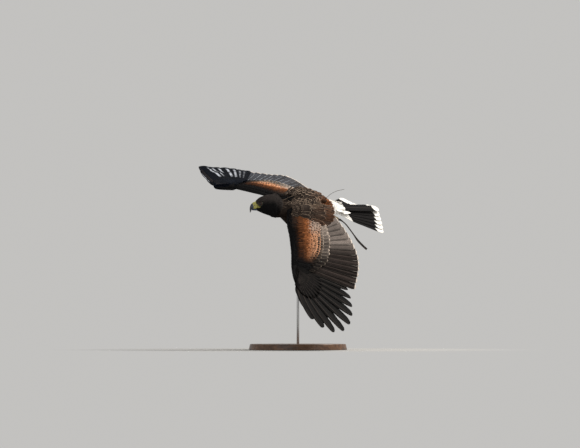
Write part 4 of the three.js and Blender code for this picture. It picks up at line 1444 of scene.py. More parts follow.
def lay_hand_tier(coat, wing, under, count, share, low, high, width):
    """One tier of coverts along the primaries' lines, over a share of their length."""
    i = np.linspace(0, 9, count)
    root, tip, lead = wing.primary(i)
    up = wing.hand_dir(0, 0, -1 if under else 1)
    rise = mix(0.4, 1.0, smooth(0, 3.5, i))[:, None]
    first = mix(root, tip, 0.01) + up * low * rise
    last = mix(root, tip, share * mix(1.1, 0.9, i / 9)[:, None]) + up * high * rise
    length = np.linalg.norm(last - first, axis=1)
    coat.lay(
        covert_vane, first, last - first, up, length, width * 0.6, width * 0.45, side=lead,
        roll=5, lift=0.03, sag=0.04, camber=0.15, tint=varied(HAND_DARK[wing.side], count),
        fringe=varied(HAND_DARK[wing.side] * 2, count), marks=(0.08, 0, 0.25), reshape=pointed,
        bake=rows_of(0.65 + 0.3 * i / 9, 0.5 + 0.3 * share),
    )


def lay_alula(coat, wing):
    """The three short feathers of the thumb, on the front edge of the hand."""
    i = np.arange(3)
    root = wing.hand(-3 + i, 7 - 3 * i, 2 + i)
    tip = wing.hand(76 - 15 * i, 6 - 7 * i, 7 + 1.6 * i)
    coat.lay(
        covert_vane, root, tip - root, wing.hand_dir(0, 0, 1), np.linalg.norm(tip - root, axis=1),
        9, 5, side=wing.hand_dir(0, 1), roll=4, camber=0.15, tint=varied(HAND_DARK[wing.side], 3),
        fringe=HAND_DARK[wing.side] * 2, marks=(0.1, 0, 0.25), bake=(0.9, 0.9),
    )


# %% [markdown]
# Each wing gets two pieces: one of the lesser coverts with the leading edge, one of all the
# larger coverts. One piece would hold more triangles than is good for one mesh.


# %% The coverts of both wings
def lay_lesser(coat, wing):
    for under in (False, True):
        lay_arm_rows(coat, wing, under)
    lay_edge(coat, wing)


def lay_coverts(coat, wing):
    for under in (False, True):
        lay_hand_rows(coat, wing, under)
    for under, tiers in ((False, TIERS_OVER), (True, TIERS_UNDER)):
        for tier in tiers:
            lay_tier(coat, wing, under, *tier)
    for tier in HAND_TIERS_OVER:
        lay_hand_tier(coat, wing, False, *tier)
    lay_hand_tier(coat, wing, True, *HAND_TIER_UNDER)
    lay_alula(coat, wing)


for side, wing in WINGS.items():
    for name, lay in (("lesser_", lay_lesser), ("coverts_", lay_coverts)):
        wing_coat = Coat()
        lay(wing_coat, wing)
        keep(wing_coat.build(name + side, covert_finish), "wing_feathers")

# %% [markdown]
# The scapulars lie over the seam between back and wing. Their roots fill the strip between a
# line along the back and a line along the wing's root, bulging over a third line between
# them, and they point to the tail. A parabola through the three places gives the strip.


# %% The scapulars
def lay_scapulars(coat, wing):
    def place(p, q):
        """p runs from the back out to the wing, q from the shoulder to the tail."""
        angle = np.radians(90 - wing.sign * 14) + 0 * q
        inner = body_at(mix(8.6, 13.0, q), angle, -2)
        middle = wing.arm_skin(mix(-0.2, -0.16, q), mix(0.06, 0.90, q), False, 5)
        outer = wing.arm_skin(mix(-0.06, 0.12, q), mix(0.06, 0.92, q), False, 2)
        a, b, c = (2 * p - 1) * (p - 1), 4 * p * (1 - p), p * (2 * p - 1)
        return inner * a[..., None] + middle * b[..., None] + outer * c[..., None]

    rows, across = 10, 9
    q, p = staggered(np.linspace(0.0, 0.9, rows), np.linspace(0.0, 1.0, across))
    p = p.clip(0, 1.04)
    roots = place(p, q)
    sideways = place(p + 0.02, q) - roots
    along = unit(place(p, q + 0.02) - roots) + unit(sideways) * rng.normal(0.08, 0.10, (len(p), 1))
    along = along + np.array([-0.6, 0, 0]) * (1 - q)[:, None]
    face = outward(along, sideways, np.array([0.0, wing.sign * 0.6, 1.0]))
    count = len(p)
    rufous = rng.random(count) * smooth(0.3, 0.9, q) * 0.6
    coat.lay(
        covert_vane, roots, along, face, mix(30.0, 46.0, q) * rng.uniform(0.88, 1.1, count),
        mix(5.0, 7.0, q), lift=0.07, sag=0.07, camber=0.2, roll=5,
        tint=varied(blend(MANTLE, RUFOUS * 0.4, rufous * 0.6), count),
        fringe=blend(BUFF, RUFOUS * 0.9, rufous) * rng.uniform(0.6, 1.2, (count, 1)),
        marks=rows_of(rng.uniform(0.12, 0.24, count), 0.5, 0.1),
        bake=rows_of(0.1 + 0.5 * q, 0.1 + 0.3 * p),
    )


for side, wing in WINGS.items():
    scapular_coat = Coat()
    lay_scapulars(scapular_coat, wing)
    keep(scapular_coat.build("scapulars_" + side, covert_finish), "plumage")

# %% [markdown]
# The flight feathers are the largest vanes: ten primaries on each hand, thirteen
# secondaries on each arm. The outer primaries are cut narrow towards their tips, which is
# why a hawk's spread wing ends in fingers. Each takes a strip of the unwrap to itself, because
# its pattern is long and needs more room than a tuft's patch.

# %% The flight feathers
SECONDARIES = 13
# the right wing's blue greys are painted light: a reflection of the sky on the far wing
SECONDARY_TINT = {
    "left": np.array([0.024, 0.018, 0.016]),
    "right": np.array([0.040, 0.044, 0.054]),
}
# here too the right values hold a painted reflection of the sky
TERTIAL_TINT = {
    "left": np.array([0.21, 0.175, 0.155]),
    "right": np.array([0.050, 0.050, 0.056]),
}
TIP_RIM = np.array([0.74, 0.65, 0.57])
# painted highlights: how strong the streaks of painted sheen are on each wing's flight feathers
GLINT_STREAKS = {"left": 0.0, "right": 1.0}  # how much sheen each wing's flight feathers show


def fingered(amount):
    """Narrows both webs of a primary beyond its middle, each by its amount."""

    def reshape(u, v, count):
        amounts = np.asarray(amount, float).reshape(-1, 1)
        outer = 0.35 * smooth(0.46, 0.60, v) * (u > 0)
        inner = 0.22 * smooth(0.60, 0.74, v) * (u < 0)
        nicks = 0.02 * np.sin(v * 57 + np.arange(count)[:, None] * 2.3) * (np.abs(u) > 0.95)
        return 1 - amounts * (outer + inner)[None] + nicks

    return reshape


def strips(count, first, total):
    """A strip of the unwrap for each feather: its corner and its size."""
    index = np.arange(first, first + count)
    return rows_of((index + 0.5) / total, 0.02), np.array([0.8 / total, 0.96])


FLIGHT = SECONDARIES + len(PRIMARY_LENGTHS)
# how far each primary is cut narrow, from the inmost to the last
FINGERS = np.array([0, 0, 0, 0, 0.3, 0.8, 1, 1, 1, 0.7])


def lay_secondaries(coat, wing):
    t = np.linspace(0, 1, SECONDARIES)
    root, tip = wing.secondary(t)
    length = np.linalg.norm(tip - root, axis=1)
    corner, size = strips(SECONDARIES, 0, FLIGHT)
    shade = blend(SECONDARY_TINT[wing.side], TERTIAL_TINT[wing.side], smooth(0.45, 0.70, t))
    coat.lay(
        flight_vane, root, tip - root, wing.arm_dir(0, 0, 1), length, 20, 10,
        side=wing.arm_dir(1, 0), roll=6, sag=0.0, camber=0.10, thick=0.4,
        tint=varied(shade, SECONDARIES, 0.14), fringe=varied(TIP_RIM, SECONDARIES, 0.08),
        # the right secondaries carry painted sheen as well
        marks=(0.13, 0.45 * GLINT_STREAKS[wing.side], 0.35), bake=corner, patch=size,
        reshape=fingered(np.zeros(SECONDARIES)),
    )


def lay_primaries(coat, wing):
    """They rise and bend a little more from one to the next, and the right ones carry painted
    glints.
    """
    i = np.arange(len(PRIMARY_LENGTHS))
    t = i / (len(i) - 1)
    root, tip, lead = wing.primary(i)
    length = np.linalg.norm(tip - root, axis=1)
    corner, size = strips(len(i), SECONDARIES, FLIGHT)
    raised = smooth(0.60, 0.78, t) * (1 - smooth(0.85, 1, t))
    # painted glints on the right primaries, fading out towards the inmost
    streak = GLINT_STREAKS[wing.side] * np.interp(i, [0, 2, 4, 9], [0, 0.5, 1, 1])
    coat.lay(
        primary_vane, root, tip - root, wing.hand_dir(0, 0, 1), length,
        33 + 10 * np.sin(np.pi * t), mix(12, 9, t), side=lead, roll=6, camber=0.08, thick=0.42,
        arch=mix(0.02, wing.pose["arch"], t),
        sag=mix(wing.pose["tip_drop"], -wing.pose["tip_lift"], raised),
        tint=varied(HAND_DARK[wing.side], len(i), 0.08),
        fringe=varied(HAND_DARK[wing.side] * 8, len(i), 0.05), marks=rows_of(0.07, streak, 0.25),
        bake=corner, patch=size, reshape=fingered(FINGERS),
    )


for side, wing in WINGS.items():
    flight_coat = Coat()
    lay_secondaries(flight_coat, wing)
    lay_primaries(flight_coat, wing)
    keep(flight_coat.build("flight_" + side, flight_finish), "wing_feathers")

# %% [markdown]
# Twelve tail feathers fan out under the middle pair. Each is white at its root and tip with
# a broad black band between, and the white coverts over and under the root end in points.
# The band could be a stripe across the whole fan, but on the bird each feather has its own
# ragged end of it, so two marks on each feather hold where its black starts and ends.

# %% The tail's finish
TAIL_BLACK = (0.0070, 0.0062, 0.0062)
TAIL_SHAFT = (0.10, 0.08, 0.07)


def tail_plumage():
    """Black between a white base and a white tip. marks hold where the black starts and ends."""
    made = finish("plumage_rectrices", Roughness=0.75, Specular_IOR_Level=0.05)
    _, along, side, _ = vane_pattern(made, 10.0)
    marks = add(made, "SeparateXYZ", kept(made, "marks", "Vector")).outputs
    cloud = noise(made, 120.0, Detail=2.0)
    ragged = maths(made, "MULTIPLY_ADD", cloud, 0.05, along)
    ragged = maths(made, "MULTIPLY_ADD", side, -0.03, ragged)
    starts = maths(made, "SUBTRACT", ragged, marks[0])
    ends = maths(made, "SUBTRACT", marks[1], ragged)
    black = ranged(made, maths(made, "MINIMUM", starts, ends), -0.008, 0.012)
    wave = maths(made, "SINE", product(made, maths(made, "MULTIPLY_ADD", side, -0.2, along), 420.0))
    on_shaft = product(made, maths(made, "LESS_THAN", side, 0.06), 0.3)
    colour = mixed(made, black, tuple(WHITE), kept(made, "tint", "Color"))
    colour = mixed(made, on_shaft, colour, TAIL_SHAFT)
    colour = shaded(made, colour, maths(made, "MULTIPLY_ADD", wave, 0.05, 0.97))
    paint(made, colour, wave, depth=0.0002, strength=0.4)
    return made


tail_finish = tail_plumage()
print("the tail's finish has", len(tail_finish.node_tree.nodes), "nodes")

# %% [markdown]
# The fan could be even on both sides, but in a banked turn its far half is held wider and
# lower. So the two halves share one row of feathers and differ in a few numbers.

# %% The tail
FAR_SPREAD = 1.34  # the far half of the fan is held wider
FAR_DIP = 9  # and lower between its middle and its edge
NEAR_DOME = 7  # the near edge slopes down a little less


def lay_rectrices(coat):
    """The fan, from its far edge (place -1) over the middle pair to its near edge (1)."""
    place = (np.arange(RECTRICES) - (RECTRICES - 1) / 2) / ((RECTRICES - 1) / 2)
    out = np.abs(place)
    far = place < 0
    angle = np.radians(TAIL_FAN * place * np.where(far, FAR_SPREAD, 1))
    reach = TAIL_LENGTH + 9 + 5 * place - 9 * out**2
    middle = out < 0.1
    level = np.where(middle, 2.4 * (place > 0), -7 * out)
    level = level - far * FAR_DIP * np.sin(np.pi * out)
    root = tail_at(0, place * 12, level * 0.8)
    drop = reach * np.sin(np.radians(np.where(far, TAIL_DOME, NEAR_DOME) * out))
    tip = tail_at(reach * np.cos(angle), reach * np.sin(angle) + place * 12, level - drop)
    corner, size = strips(RECTRICES, 0, RECTRICES)
    side = tail_dir(0, 1, 0)[None] * np.where(far, -1, 1)[:, None]
    black_start = mix(0.20, np.where(far, 0.06, 0.36), out)
    black_end = mix(0.90, np.where(far, 0.80, 0.86), out)
    marks = rows_of(black_start, black_end, 0)
    coat.lay(
        flight_vane, root, tip - root, tail_dir(0, 0, 1), np.linalg.norm(tip - root, axis=1),
        np.where(middle, 14, 23), np.where(middle, 14, 12), side=side,
        roll=np.where(middle, 0, -13), sag=np.where(far, 0.02, 0.005), camber=0.08, thick=0.4,
        tint=varied(TAIL_BLACK, RECTRICES, 0.1), fringe=WHITE, marks=marks,
        bake=corner, patch=size, reshape=fingered(np.zeros(RECTRICES)),
    )


def lay_tail_coverts(coat, count, root_back, reach, spread, height, face, width):
    """A row of pointed coverts over the tail's root (face 1) or under it (face -1)."""
    place = np.linspace(-1, 1, count)
    out = np.abs(place)
    root = tail_at(root_back, place * 15, height - face * 3 * out)
    shorter = mix(0.62, 1.0, smooth(-0.9, 0.3, place)) if face > 0 else 1.0
    back = reach * shorter * (1 - 0.14 * out) * rng.uniform(0.84, 1.08, count)
    tip = tail_at(back, place * spread, height - face * (1 + 5 * out))
    coat.lay(
        covert_vane, root, tip - root, tail_dir(0, 0, face), np.linalg.norm(tip - root, axis=1),
        width, side=tail_dir(0, 1, 0)[None] * np.where(place < 0, -1, 1)[:, None], roll=3,
        lift=0.02, sag=0.02, camber=0.2, tint=varied(WHITE, count, 0.04), fringe=WHITE,
        marks=(0.05, 0, 0.05), reshape=pointed,
        bake=rows_of(0.5 + 0.4 * place, 0.5 + 0.3 * face),
    )


tail_coat = Coat()
lay_rectrices(tail_coat)
keep(tail_coat.build("rectrices", tail_finish), "tail_feathers")
rump_coat = Coat()
for root_back, reach, height in ((0, 47, 6), (-8, 36, 9), (-16, 25, 11)):
    lay_tail_coverts(rump_coat, 13, root_back, reach, 26, height, 1, 5.5)
for root_back, reach, height in ((8, 80, -8), (0, 62, -9.5), (-8, 45, -11)):
    lay_tail_coverts(rump_coat, 9, root_back, reach, 24, height, -1, 8)
keep(rump_coat.build("tail_coverts", coat_finish), "plumage")

# %% [markdown]
# The bill is horn, blue grey at its base and black at the hook. It could be a cone that is
# bent, but its section changes from a broad oval to a sharp point, so a row of sections is
# rolled up instead, as the body was.

# %% The bill
# x, height of the middle, half width, height over and under it, in the head's frame
UPPER_BILL = [
    (20, 2, 10, 12, 8),
    (28, 2.6, 8.8, 11, 8.6),
    (35, 1.4, 7.4, 10.4, 7.5),
    (41, -1.8, 5.6, 9.2, 6.2),
    (45, -6.6, 3.7, 7, 7.2),
    (46.7, -11.4, 2, 4.2, 4.2),
    (46.0, -15.6, 0.5, 1.4, 1.3),
]
LOWER_BILL = [
    (18, -9.6, 8, 3.3, 4.6),
    (27, -9.4, 6.6, 3.1, 3.9),
    (34, -9, 4.8, 2.7, 2.9),
    (39, -8.6, 2.8, 1.9, 2),
]
HORN = (0.034, 0.050, 0.082)
HORN_DARK = (0.020, 0.028, 0.044)
HORN_TIP = (0.006, 0.006, 0.007)
RIDGE = 0.22  # how much narrower a section is towards its ridge


def section_of(rows, u, at, flat, grow=0.0, grow_below=0.0):
    """Places round sections of the bill, where flat squares off the under side."""
    x, z, w, above, below = spline(np.arange(len(rows)), rows, at * (len(rows) - 1)).T
    high = np.sin(u * 2 * np.pi)
    under = np.clip(high * flat, -1, 0) * (below + grow_below)
    depth = np.where(high > 0, high * (above + grow), under)
    wide = (w + grow) * np.cos(u * 2 * np.pi) * (1 - RIDGE * np.clip(high, 0, 1) ** 2)
    return rows_of(x, wide, z + depth)


def tube_at(rows, flat):
    return lambda u, v: in_head(section_of(rows, u, v, flat))


def horn_finish():
    made = finish("bill", Roughness=0.26, Specular_IOR_Level=0.5)
    along = kept(made, "along")
    grain = noise(made, 260.0, Detail=3.0, Distortion=1.5)
    ragged = maths(made, "MULTIPLY_ADD", grain, 0.16, maths(made, "SUBTRACT", along, 0.08))
    colour = ramp(made, ragged, (0.48, HORN), (0.66, HORN_DARK), (0.84, HORN_TIP))
    paint(made, colour, grain, depth=0.0004, strength=0.5)
    return made


BILL_ROOT = 20  # x where the horn's colours start
UPPER_FLAT = 1.5
horn = horn_finish()
# name, sections, how square below, length over which the colours run
for name, rows, flat, reach in (
    ("upper", UPPER_BILL, UPPER_FLAT, 27),
    ("lower", LOWER_BILL, 1.0, 32),
):
    bill = rolled(f"horn_{name}", 40, 44, tube_at(rows, flat))
    along = (in_bird(vertices_of(bill)) - SKULL) @ HEAD_TURN[:, 0]
    remember(bill, "along", (along - BILL_ROOT) / reach)
    keep(dress(bill, horn), "bill", "bill_" + name)
    print(name, "bill reaches", round(along.max(), 1), "mm ahead of the skull's middle")

# %% [markdown]
# A fleshy yellow cere wraps the bill's root and holds the nostrils, and the gape runs back
# under the eye. The cere follows the bill's own sections a little further out, so the two
# can't drift apart. The nostril is pressed into the mesh and painted with shade by a value
# that the mesh keeps, because a dark spot alone would look painted on.

# %% The cere and the gape
BARE_YELLOW = np.array([0.36, 0.33, 0.085])
# painted shade: the lids are painted dark brown for the shade of the brow over them
LID_SHADE = np.array([0.030, 0.027, 0.015])
# the colour of the painted shade in nostrils and lid folds
HOLE_SHADE = (0.012, 0.010, 0.008)
NOSTRIL = np.array([31.0, 8.4, 4.6])
NOSTRIL_TALL = 1.25  # how much faster its edge is met upwards than lengthwise
FLANK = 5  # nothing nearer the middle of the bill than this belongs to a nostril


def bare_skin_finish(name, tone):
    """Bare skin with a fine grain. dark is painted shade: how far a place is in a hole or a fold.
    """
    made = finish(name, Roughness=0.42, Specular_IOR_Level=0.4, Subsurface_Weight=0.05)
    dark = kept(made, "dark")
    grain = noise(made, 520.0, Detail=3.0)
    cells = add(made, "TexVoronoi", place_on(made), Scale=900.0).outputs[0]
    colour = ramp(made, grain, (0.35, tuple(tone * 0.72)), (0.65, tuple(tone * 1.15)))
    colour = mixed(made, dark, colour, HOLE_SHADE)
    height = maths(made, "MULTIPLY_ADD", grain, 0.6, cells)
    paint(made, colour, height, depth=0.0003, strength=0.6)
    return made


bare_skin = bare_skin_finish("bare_skin", BARE_YELLOW)
lid_shade_skin = bare_skin_finish("lid_shade_skin", LID_SHADE)


def nostril_at(local):
    """How far a place is from its side's nostril, and whether it is on a flank at all."""
    near = np.linalg.norm((local - NOSTRIL) * [1, 0, NOSTRIL_TALL], axis=1)
    return near, np.abs(local[:, 1]) > FLANK


def cere_place(u, v):
    """The cere swells over the horn and thins out to it at its front edge."""
    swell = 0.9 * np.sqrt(np.clip(1 - v, 0, 1)) - 0.15
    edge = 0.385 - 0.05 * np.cos(2 * np.pi * u) ** 2
    local = section_of(UPPER_BILL, u, edge * v, UPPER_FLAT, swell, swell * 0.4)
    near, flank = nostril_at(local)
    dimple = 1.3 * (1 - smooth(0.6, 1.9, near)) * flank
    rim = 0.35 * np.exp(-(((near - 2.5) / 0.7) ** 2)) * flank
    local[:, 1] += np.sign(local[:, 1]) * (rim - dimple)
    return in_head(local)


cere = rolled("cere", 120, 44, cere_place)
near, flank = nostril_at((in_bird(vertices_of(cere)) - SKULL) @ HEAD_TURN)
# painted shade inside the nostrils
remember(cere, "dark", (1 - smooth(0.8, 1.8, near)) * flank)
keep(dress(cere, bare_skin), "leg_skin")
GAPE = [(27, 6.6, -6.4), (21, 10.6, -6.6), (16, 13.2, -7.2)]
GAPE_RADII = (0.9, 1.3, 0.8)
for side, sign in SIDES.items():
    line = in_head(np.array(GAPE) * [1, sign, 1])
    gape = rolled("gape_" + side, 12, 30, limb_at(line, GAPE_RADII))
    remember(gape, "dark", np.zeros(len(gape.data.vertices)))
    keep(dress(gape, bare_skin), "leg_skin")
print("the cere has", len(cere.data.polygons), "faces")

# %% [markdown]
# The eye is a dark ball that sits deep between its lids, under the brow. Its colours follow
# how far a place on the ball is from the middle of its gaze: black pupil, dark brown iris with
# fine spokes, then the darker rim. A disc for the iris would be simpler, but would look flat
# from the side. The lids are two soft rings, painted dark brown for the brow's shade, with
# painted shade on the inner lid's edge next to the eye.

# %% The eyes and their lids
EYE_RADIUS = 7.0
GAZE = unit([0.35, 1.0, 0.12])
PUPIL = (0.003, 0.0025, 0.002)
IRIS = ((0.014, 0.006, 0.003), (0.060, 0.022, 0.009))
BLACK, LIT = (0.0,) * 3, (1.0,) * 3
# name, how far out the ring lies, its radius and its thickness
LIDS = (("lid", 4.0, 6.5, 1.25), ("fold", 2.2, 8.0, 1.2))
LID_TALL = 0.9


def eye_finish():
    made = finish("eye", Roughness=0.05, Specular_IOR_Level=0.3)
    gaze = kept(made, "gaze")
    brown = mixed(made, noise(made, 900.0, Detail=4.0), *IRIS)
    ring = ramp(made, gaze, (0.62, BLACK), (0.74, LIT), (0.86, LIT), (0.885, BLACK))
    paint(made, mixed(made, ring, PUPIL, brown))
    return made


eye_gloss = eye_finish()


def ring_about(centre, normal, radius, thick):
    """A closed ring, like a lid, a little wider than it is tall."""
    across = unit(np.cross(HEAD_TURN[:, 2], normal))
    up = np.cross(normal, across)

    def place(u, v):
        a, b = 2 * np.pi * v, 2 * np.pi * u
        out = np.cos(a)[:, None] * across + np.sin(a)[:, None] * up * LID_TALL
        out = out * (radius + thick * np.cos(b))[:, None]
        return centre + out + (thick * np.sin(b))[:, None] * normal

    return place


for side, sign in SIDES.items():
    centre = in_head(EYE_PLACE * [1, sign, 1])
    gaze = unit((GAZE * [1, sign, 1]) @ HEAD_TURN.T)
    deselect()
    bpy.ops.mesh.primitive_uv_sphere_add(segments=48, ring_count=28, radius=1)
    eye = bpy.context.object
    eye.name = eye.data.name = "eyeball_" + side
    ball = vertices_of(eye)
    facing_out = ball @ gaze
    bulge = 1 + 0.05 * smooth(0.72, 1.0, facing_out)
    move_vertices(eye, on_floor(centre + ball * EYE_RADIUS * bulge[:, None]))
    remember(eye, "gaze", facing_out)
    keep(dress(eye, eye_gloss), "eye", "eye_" + side)
    for name, out, radius, thick in LIDS:
        middle = centre + gaze * out
        lid = rolled(f"{name}_{side}", 16, 64, ring_about(middle, gaze, radius, thick))
        inner = np.linalg.norm(in_bird(vertices_of(lid)) - centre - gaze * out, axis=1)
        # painted shade on the lid's inner edge, next to the eye
        fold_shade = 1 - smooth(radius - thick, radius - 0.2 * thick, inner)
        remember(lid, "dark", fold_shade * (name == "lid"))
        keep(dress(lid, lid_shade_skin), "leg_skin")
print("the eyes look", np.round(gaze, 2))

# %% [markdown]
# Feet, anklets, radio and stand are the solids themselves, softened: a copy is merged,
# rounded and given its finish. They could be modelled again, but then they could differ from
# the solids.


# %% Softened copies of solids
def copied(node, name):
    """A merged copy of a solid of the frame, with clean outward faces."""
    obj = bpy.data.objects[node].copy()
    obj.data = obj.data.copy()
    obj.name = obj.data.name = name
    bpy.context.scene.collection.objects.link(obj)
    choose(obj)
    bpy.ops.object.mode_set(mode="EDIT")
    bpy.ops.mesh.select_all(action="SELECT")
    bpy.ops.mesh.remove_doubles(threshold=2e-5)
    bpy.ops.mesh.normals_make_consistent(inside=False)
    bpy.ops.object.mode_set(mode="OBJECT")
    return obj


def rounded(obj, width, segments):
    """Its edges bevelled by a width in millimetres."""
    return modify(obj, "BEVEL", width=width * MM, segments=segments, angle_limit=math.radians(35))


# %% [markdown]
# A hawk's feet are yellow with horny plates, and each toe ends in a black talon. Bevels would
# leave the seams between toes and shank, so the feet are melted, which lets them flow into one
# another. The plates are cells of the finish, since they are finer than the mesh.

# %% The feet
TOES = ("inner", "middle", "outer", "hind")
PLATE, PLATE_EDGE = (0.52, 0.37, 0.06), (0.16, 0.11, 0.02)
TALON = (0.012, 0.011, 0.012)
TALON_TONES = ((0.008, 0.008, 0.009), (0.026, 0.024, 0.024))


def foot_finish():
    """Yellow skin in plates, darker between them."""
    made = finish("leg_skin", Roughness=0.5, Specular_IOR_Level=0.35)
    plates = add(made, "TexVoronoi", place_on(made), feature="DISTANCE_TO_EDGE", Scale=330.0)
    lines = ranged(made, plates.outputs[0], 0.0, 0.12)
    grain = noise(made, 700.0)
    colour = mixed(made, lines, PLATE_EDGE, PLATE)
    paint(made, colour, maths(made, "MULTIPLY_ADD", grain, 0.3, lines), depth=0.0004, strength=0.8)
    return made


def claw_finish():
    made = finish("claw", TALON, Roughness=0.25, Specular_IOR_Level=0.5)
    grain = noise(made, 800.0, Distortion=2.0)
    colour = ramp(made, grain, *zip((0.3, 0.7), TALON_TONES))
    paint(made, colour, grain, depth=0.0002, strength=0.4)
    return made


foot_skin, claw_horn = foot_finish(), claw_finish()
for side in SIDES:
    foot = melted(copied("foot_" + side, "foot_form_" + side), 0.9, 4)
    keep(dress(foot, foot_skin), "leg_skin", "foot_" + side)
    for toe in TOES:
        claw = melted(copied(f"claw_{side}_{toe}", f"claw_form_{side}_{toe}"), 0.4, 3)
        keep(dress(claw, claw_horn), "claw", f"claw_{side}_{toe}")
print("feet:", len(SIDES), "with", len(TOES), "talons each")

# %% [markdown]
# A trained hawk wears an anklet on each leg and a strap in each anklet, its jess. The anklets
# are softened solids. So could the jesses be, but they twist as they trail, and in finer steps
# than a solid has. Each is rolled anew along its line and turns from its flat to its edge.

# %% The leather
VIEW_LINE = BIRD.T @ np.array([0.0, 1.0, 0.0])
JESS_ROUTES = {
    "left": [
        (-132, 30.4, -30.5), (-148, 31, -24), (-166, 29, -13), (-180, 28.5, -7),
        (-190, 34.5, -6.5), (-204, 47.6, -10), (-226, 72.4, -22.5), (-244, 90.8, -34),
        (-262, 105.5, -42), (-276, 116.2, -47),
    ],
    "right": [
        (-132, 30.4, -30.5), (-150, 31, -28), (-170, 33, -27), (-194, 38, -31),
        (-220, 44, -38), (-246, 50, -46), (-268, 54, -54),
    ],
}
JESS_WIDTH, JESS_THICK = 6.5, 1.6
JESS_TURN = {"left": 62, "right": 25}  # degrees
GREASED, WORN = (0.012, 0.009, 0.008), (0.045, 0.030, 0.021)


def leather_finish():
    """Dark greased leather with a grain and worn edges."""
    made = finish("leather", Roughness=0.42, Specular_IOR_Level=0.4)
    grain = add(made, "TexVoronoi", place_on(made), Scale=1400.0).outputs[0]
    wear = noise(made, 130.0, Detail=4.0)
    colour = ramp(made, wear, (0.40, GREASED), (0.62, WORN))
    paint(made, colour, maths(made, "MULTIPLY_ADD", wear, 0.5, grain), depth=0.00025, strength=0.6)
    return made


def ribbon(route, turn):
    """Round a flat strap along a route, which turns on edge to the camera by turn degrees."""
    route = np.array(route, float)
    knots = np.arange(len(route))

    def place(u, v):
        at = v * (len(route) - 1)
        centre = spline(knots, route, at)
        along = unit(spline(knots, route, at + 0.02) - spline(knots, route, at - 0.02))
        flat = unit(np.cross(along, VIEW_LINE))
        deep = np.cross(along, flat)
        phi = np.radians(turn * smooth(0.30, 0.50, v) * (1 - smooth(0.66, 0.86, v)))[:, None]
        across = flat * np.cos(phi) + deep * np.sin(phi)
        normal = np.cross(along, across)
        a = 2 * np.pi * u
        wide = np.sign(np.cos(a)) * np.abs(np.cos(a)) ** 0.35 * JESS_WIDTH / 2
        high = np.sign(np.sin(a)) * np.abs(np.sin(a)) ** 0.55 * JESS_THICK / 2
        return centre + across * wide[:, None] + normal * high[:, None]

    return place


leather = leather_finish()
for side, sign in SIDES.items():
    route = np.array(JESS_ROUTES[side]) * [1, sign, 1]
    jess = rolled("strap_" + side, 24, 90, ribbon(route, JESS_TURN[side]))
    keep(dress(jess, leather), "leather", "jess_" + side)
    cuff = rounded(copied("cuff_" + side, "anklet_" + side), 0.5, 3)
    keep(dress(cuff, leather, False), "leather", "cuff_" + side)
    middle = spline(np.arange(len(route)), route, np.linspace(0, len(route) - 1, 200))
    print(side, "jess", round(np.linalg.norm(np.diff(middle, axis=0), axis=1).sum()), "mm long")

# %% [markdown]
# A small radio sits low on the back, its whip of an aerial rising over the rump. Only its top
# would show on a real hawk, so after its softened copy come three rows of the back's feathers
# that lie over its front and flanks and bed it into the coat.

# %% The radio and its aerial
PLASTIC = ((0.022, 0.011, 0.006), (0.040, 0.019, 0.010))
plastic = finish("tracker", Roughness=0.85, Specular_IOR_Level=0.06)
speckle = noise(plastic, 1200.0)
brown = ramp(plastic, speckle, (0.3, PLASTIC[0]), (0.7, PLASTIC[1]))
paint(plastic, brown, speckle, depth=0.0001, strength=0.3)
for node, name, bevel in (("tracker", "radio", 1.0), ("aerial", "whip", 0.1)):
    part = rounded(copied(node, name), bevel, 3)
    keep(dress(part, plastic), "tracker", node)

IN_A_ROW = 6
# how far ahead of its middle and how high a row is rooted, its slope and its half width
RADIO_ROWS = ((15, -3, 0.55, 9), (9, 1, 0.28, 8), (2, 4.4, 0.08, 6))


def lay_over_radio(coat):
    """Feathers of the back that lie over the radio's front and flanks."""
    corners = in_bird(np.array(list(itertools.product(*zip(*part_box("tracker"))))))
    middle = corners.mean(0)
    for ahead, height, rise, spread in RADIO_ROWS:
        across = np.linspace(-1, 1, IN_A_ROW) + rng.normal(0, 0.06, IN_A_ROW)
        coat.lay(
            covert_vane,
            middle + rows_of(ahead, across * spread, height - 3.5 * across**2),
            rows_of(-1, across * 0.2, rise - 0.2 * across**2),
            rows_of(0, 0.8 * across, 1),
            rng.uniform(19, 24, IN_A_ROW), 4.6, lift=0.05, sag=0.16, camber=0.25, roll=4,
            tint=varied(blend(MANTLE, RUFOUS * 0.5, rng.random(IN_A_ROW)), IN_A_ROW),
            fringe=RUFOUS * 0.8, marks=(0.2, 0.4, 0), bake=(0.5, 0.25),
        )


radio_coat = Coat()
lay_over_radio(radio_coat)
keep(radio_coat.build("plumage_over_radio", coat_finish), "plumage")

# %% [markdown]
# The stand is a turned walnut base and a brushed steel rod. A picture of wood would show a
# seam at the edge, but noise stretched along the grain runs through the base, at one scale for
# its figure and at a finer one for its pores. The rod's brushing is noise drawn out along its
# length, which also varies how sharply it shines.

# %% The stand
WALNUT = ((0.030, 0.014, 0.007), (0.085, 0.040, 0.020), (0.15, 0.075, 0.038))


def wood_finish():
    """Dark oiled walnut, its grain running across the base."""
    made = finish("stand_wood", Roughness=0.38, Specular_IOR_Level=0.4)
    stretched = add(made, "Mapping", place_on(made), Scale=(1.0, 7.0, 7.0)).outputs[0]
    figure = noise(made, 6.0, stretched, Detail=6.0, Distortion=2.2)
    pores = noise(made, 90.0, stretched, Detail=3.0)
    grain = maths(made, "MULTIPLY_ADD", pores, 0.35, product(made, figure, 0.75))
    colour = ramp(made, grain, *zip((0.34, 0.50, 0.66), WALNUT))
    paint(made, colour, grain, depth=0.0004, strength=0.35)
    return made


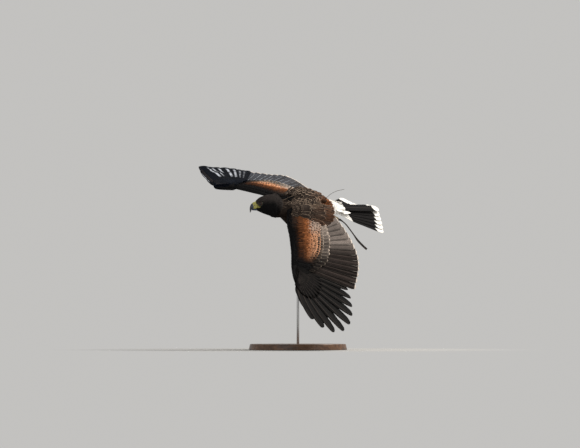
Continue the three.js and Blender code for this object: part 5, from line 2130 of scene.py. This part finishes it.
steel = finish("stand_steel", Metallic=1.0)
brushed = add(steel, "Mapping", place_on(steel), Scale=(1.0, 1.0, 0.02)).outputs[0]
lines = noise(steel, 2500.0, brushed)
grey = ramp(steel, lines, (0.3, 0.42), (0.7, 0.62))
roughness = ramp(steel, lines, (0.3, 0.22), (0.7, 0.36))
paint(steel, grey, lines, depth=0.00005, strength=0.3, roughness=roughness)
base = rounded(copied("stand_base", "base"), 2.2, 4)
keep(dress(base, wood_finish(), False), "stand_wood", "stand_base")
rod = rounded(copied("stand_rod", "rod"), 0.4, 2)
keep(dress(rod, steel), "stand_steel", "stand_rod")
print("the base is", round(base.dimensions.x / MM), "mm across")

# %% [markdown]
# What shows of the skin between the feathers is down. It is painted like the coat over it,
# so nothing pale shines through, and yellow where the face is bare. The colours could be
# painted by hand, but from the place of each vertex they follow any change of the sizes. The
# skin comes last, because it stands for all the flesh of the frame.


# %% The skin's finish
def skin_finish():
    made = finish("down", Roughness=0.8, Specular_IOR_Level=0.1)
    cloud = noise(made, 700.0, Detail=3.0)
    paint(made, kept(made, "tint", "Color"), cloud, depth=0.0004, strength=0.6)
    return made


def skin_tint(obj):
    """Dark brown, white at the tail's root, chestnut on the thighs, yellow on the bare lores, and
    dark brown round the eye as painted shade under the brow.
    """
    places = in_bird(vertices_of(obj))
    x, y, z = places.T
    tint = np.broadcast_to(DARK_BROWN, (len(places), 3))
    tint = blend(tint, WHITE * 0.8, smooth(-138, -148, x))
    thigh = smooth(-24, -30, z) * (x < -60) * (np.abs(y) < 40)
    tint = blend(tint, RUFOUS * 0.5, thigh)
    ahead = ((places - SKULL) @ HEAD_TURN)[:, 0]
    # painted shade: behind the lores the bare skin round the eye is dark brown for the brow's shade
    bare = blend(BARE_YELLOW, DARK_BROWN, smooth(17.5, 15.0, ahead))
    return blend(tint, bare, bare_face(places) * (x > 100))


remember(skin, "tint", skin_tint(skin))
FLESH = ["head", "neck", "torso", "tail"]
for side in SIDES:
    FLESH += [f"wing_{side}_arm", f"wing_{side}_hand", f"thigh_{side}"]
keep(dress(skin, skin_finish()), "plumage", *FLESH)
print("the skin stands for", ", ".join(FLESH))
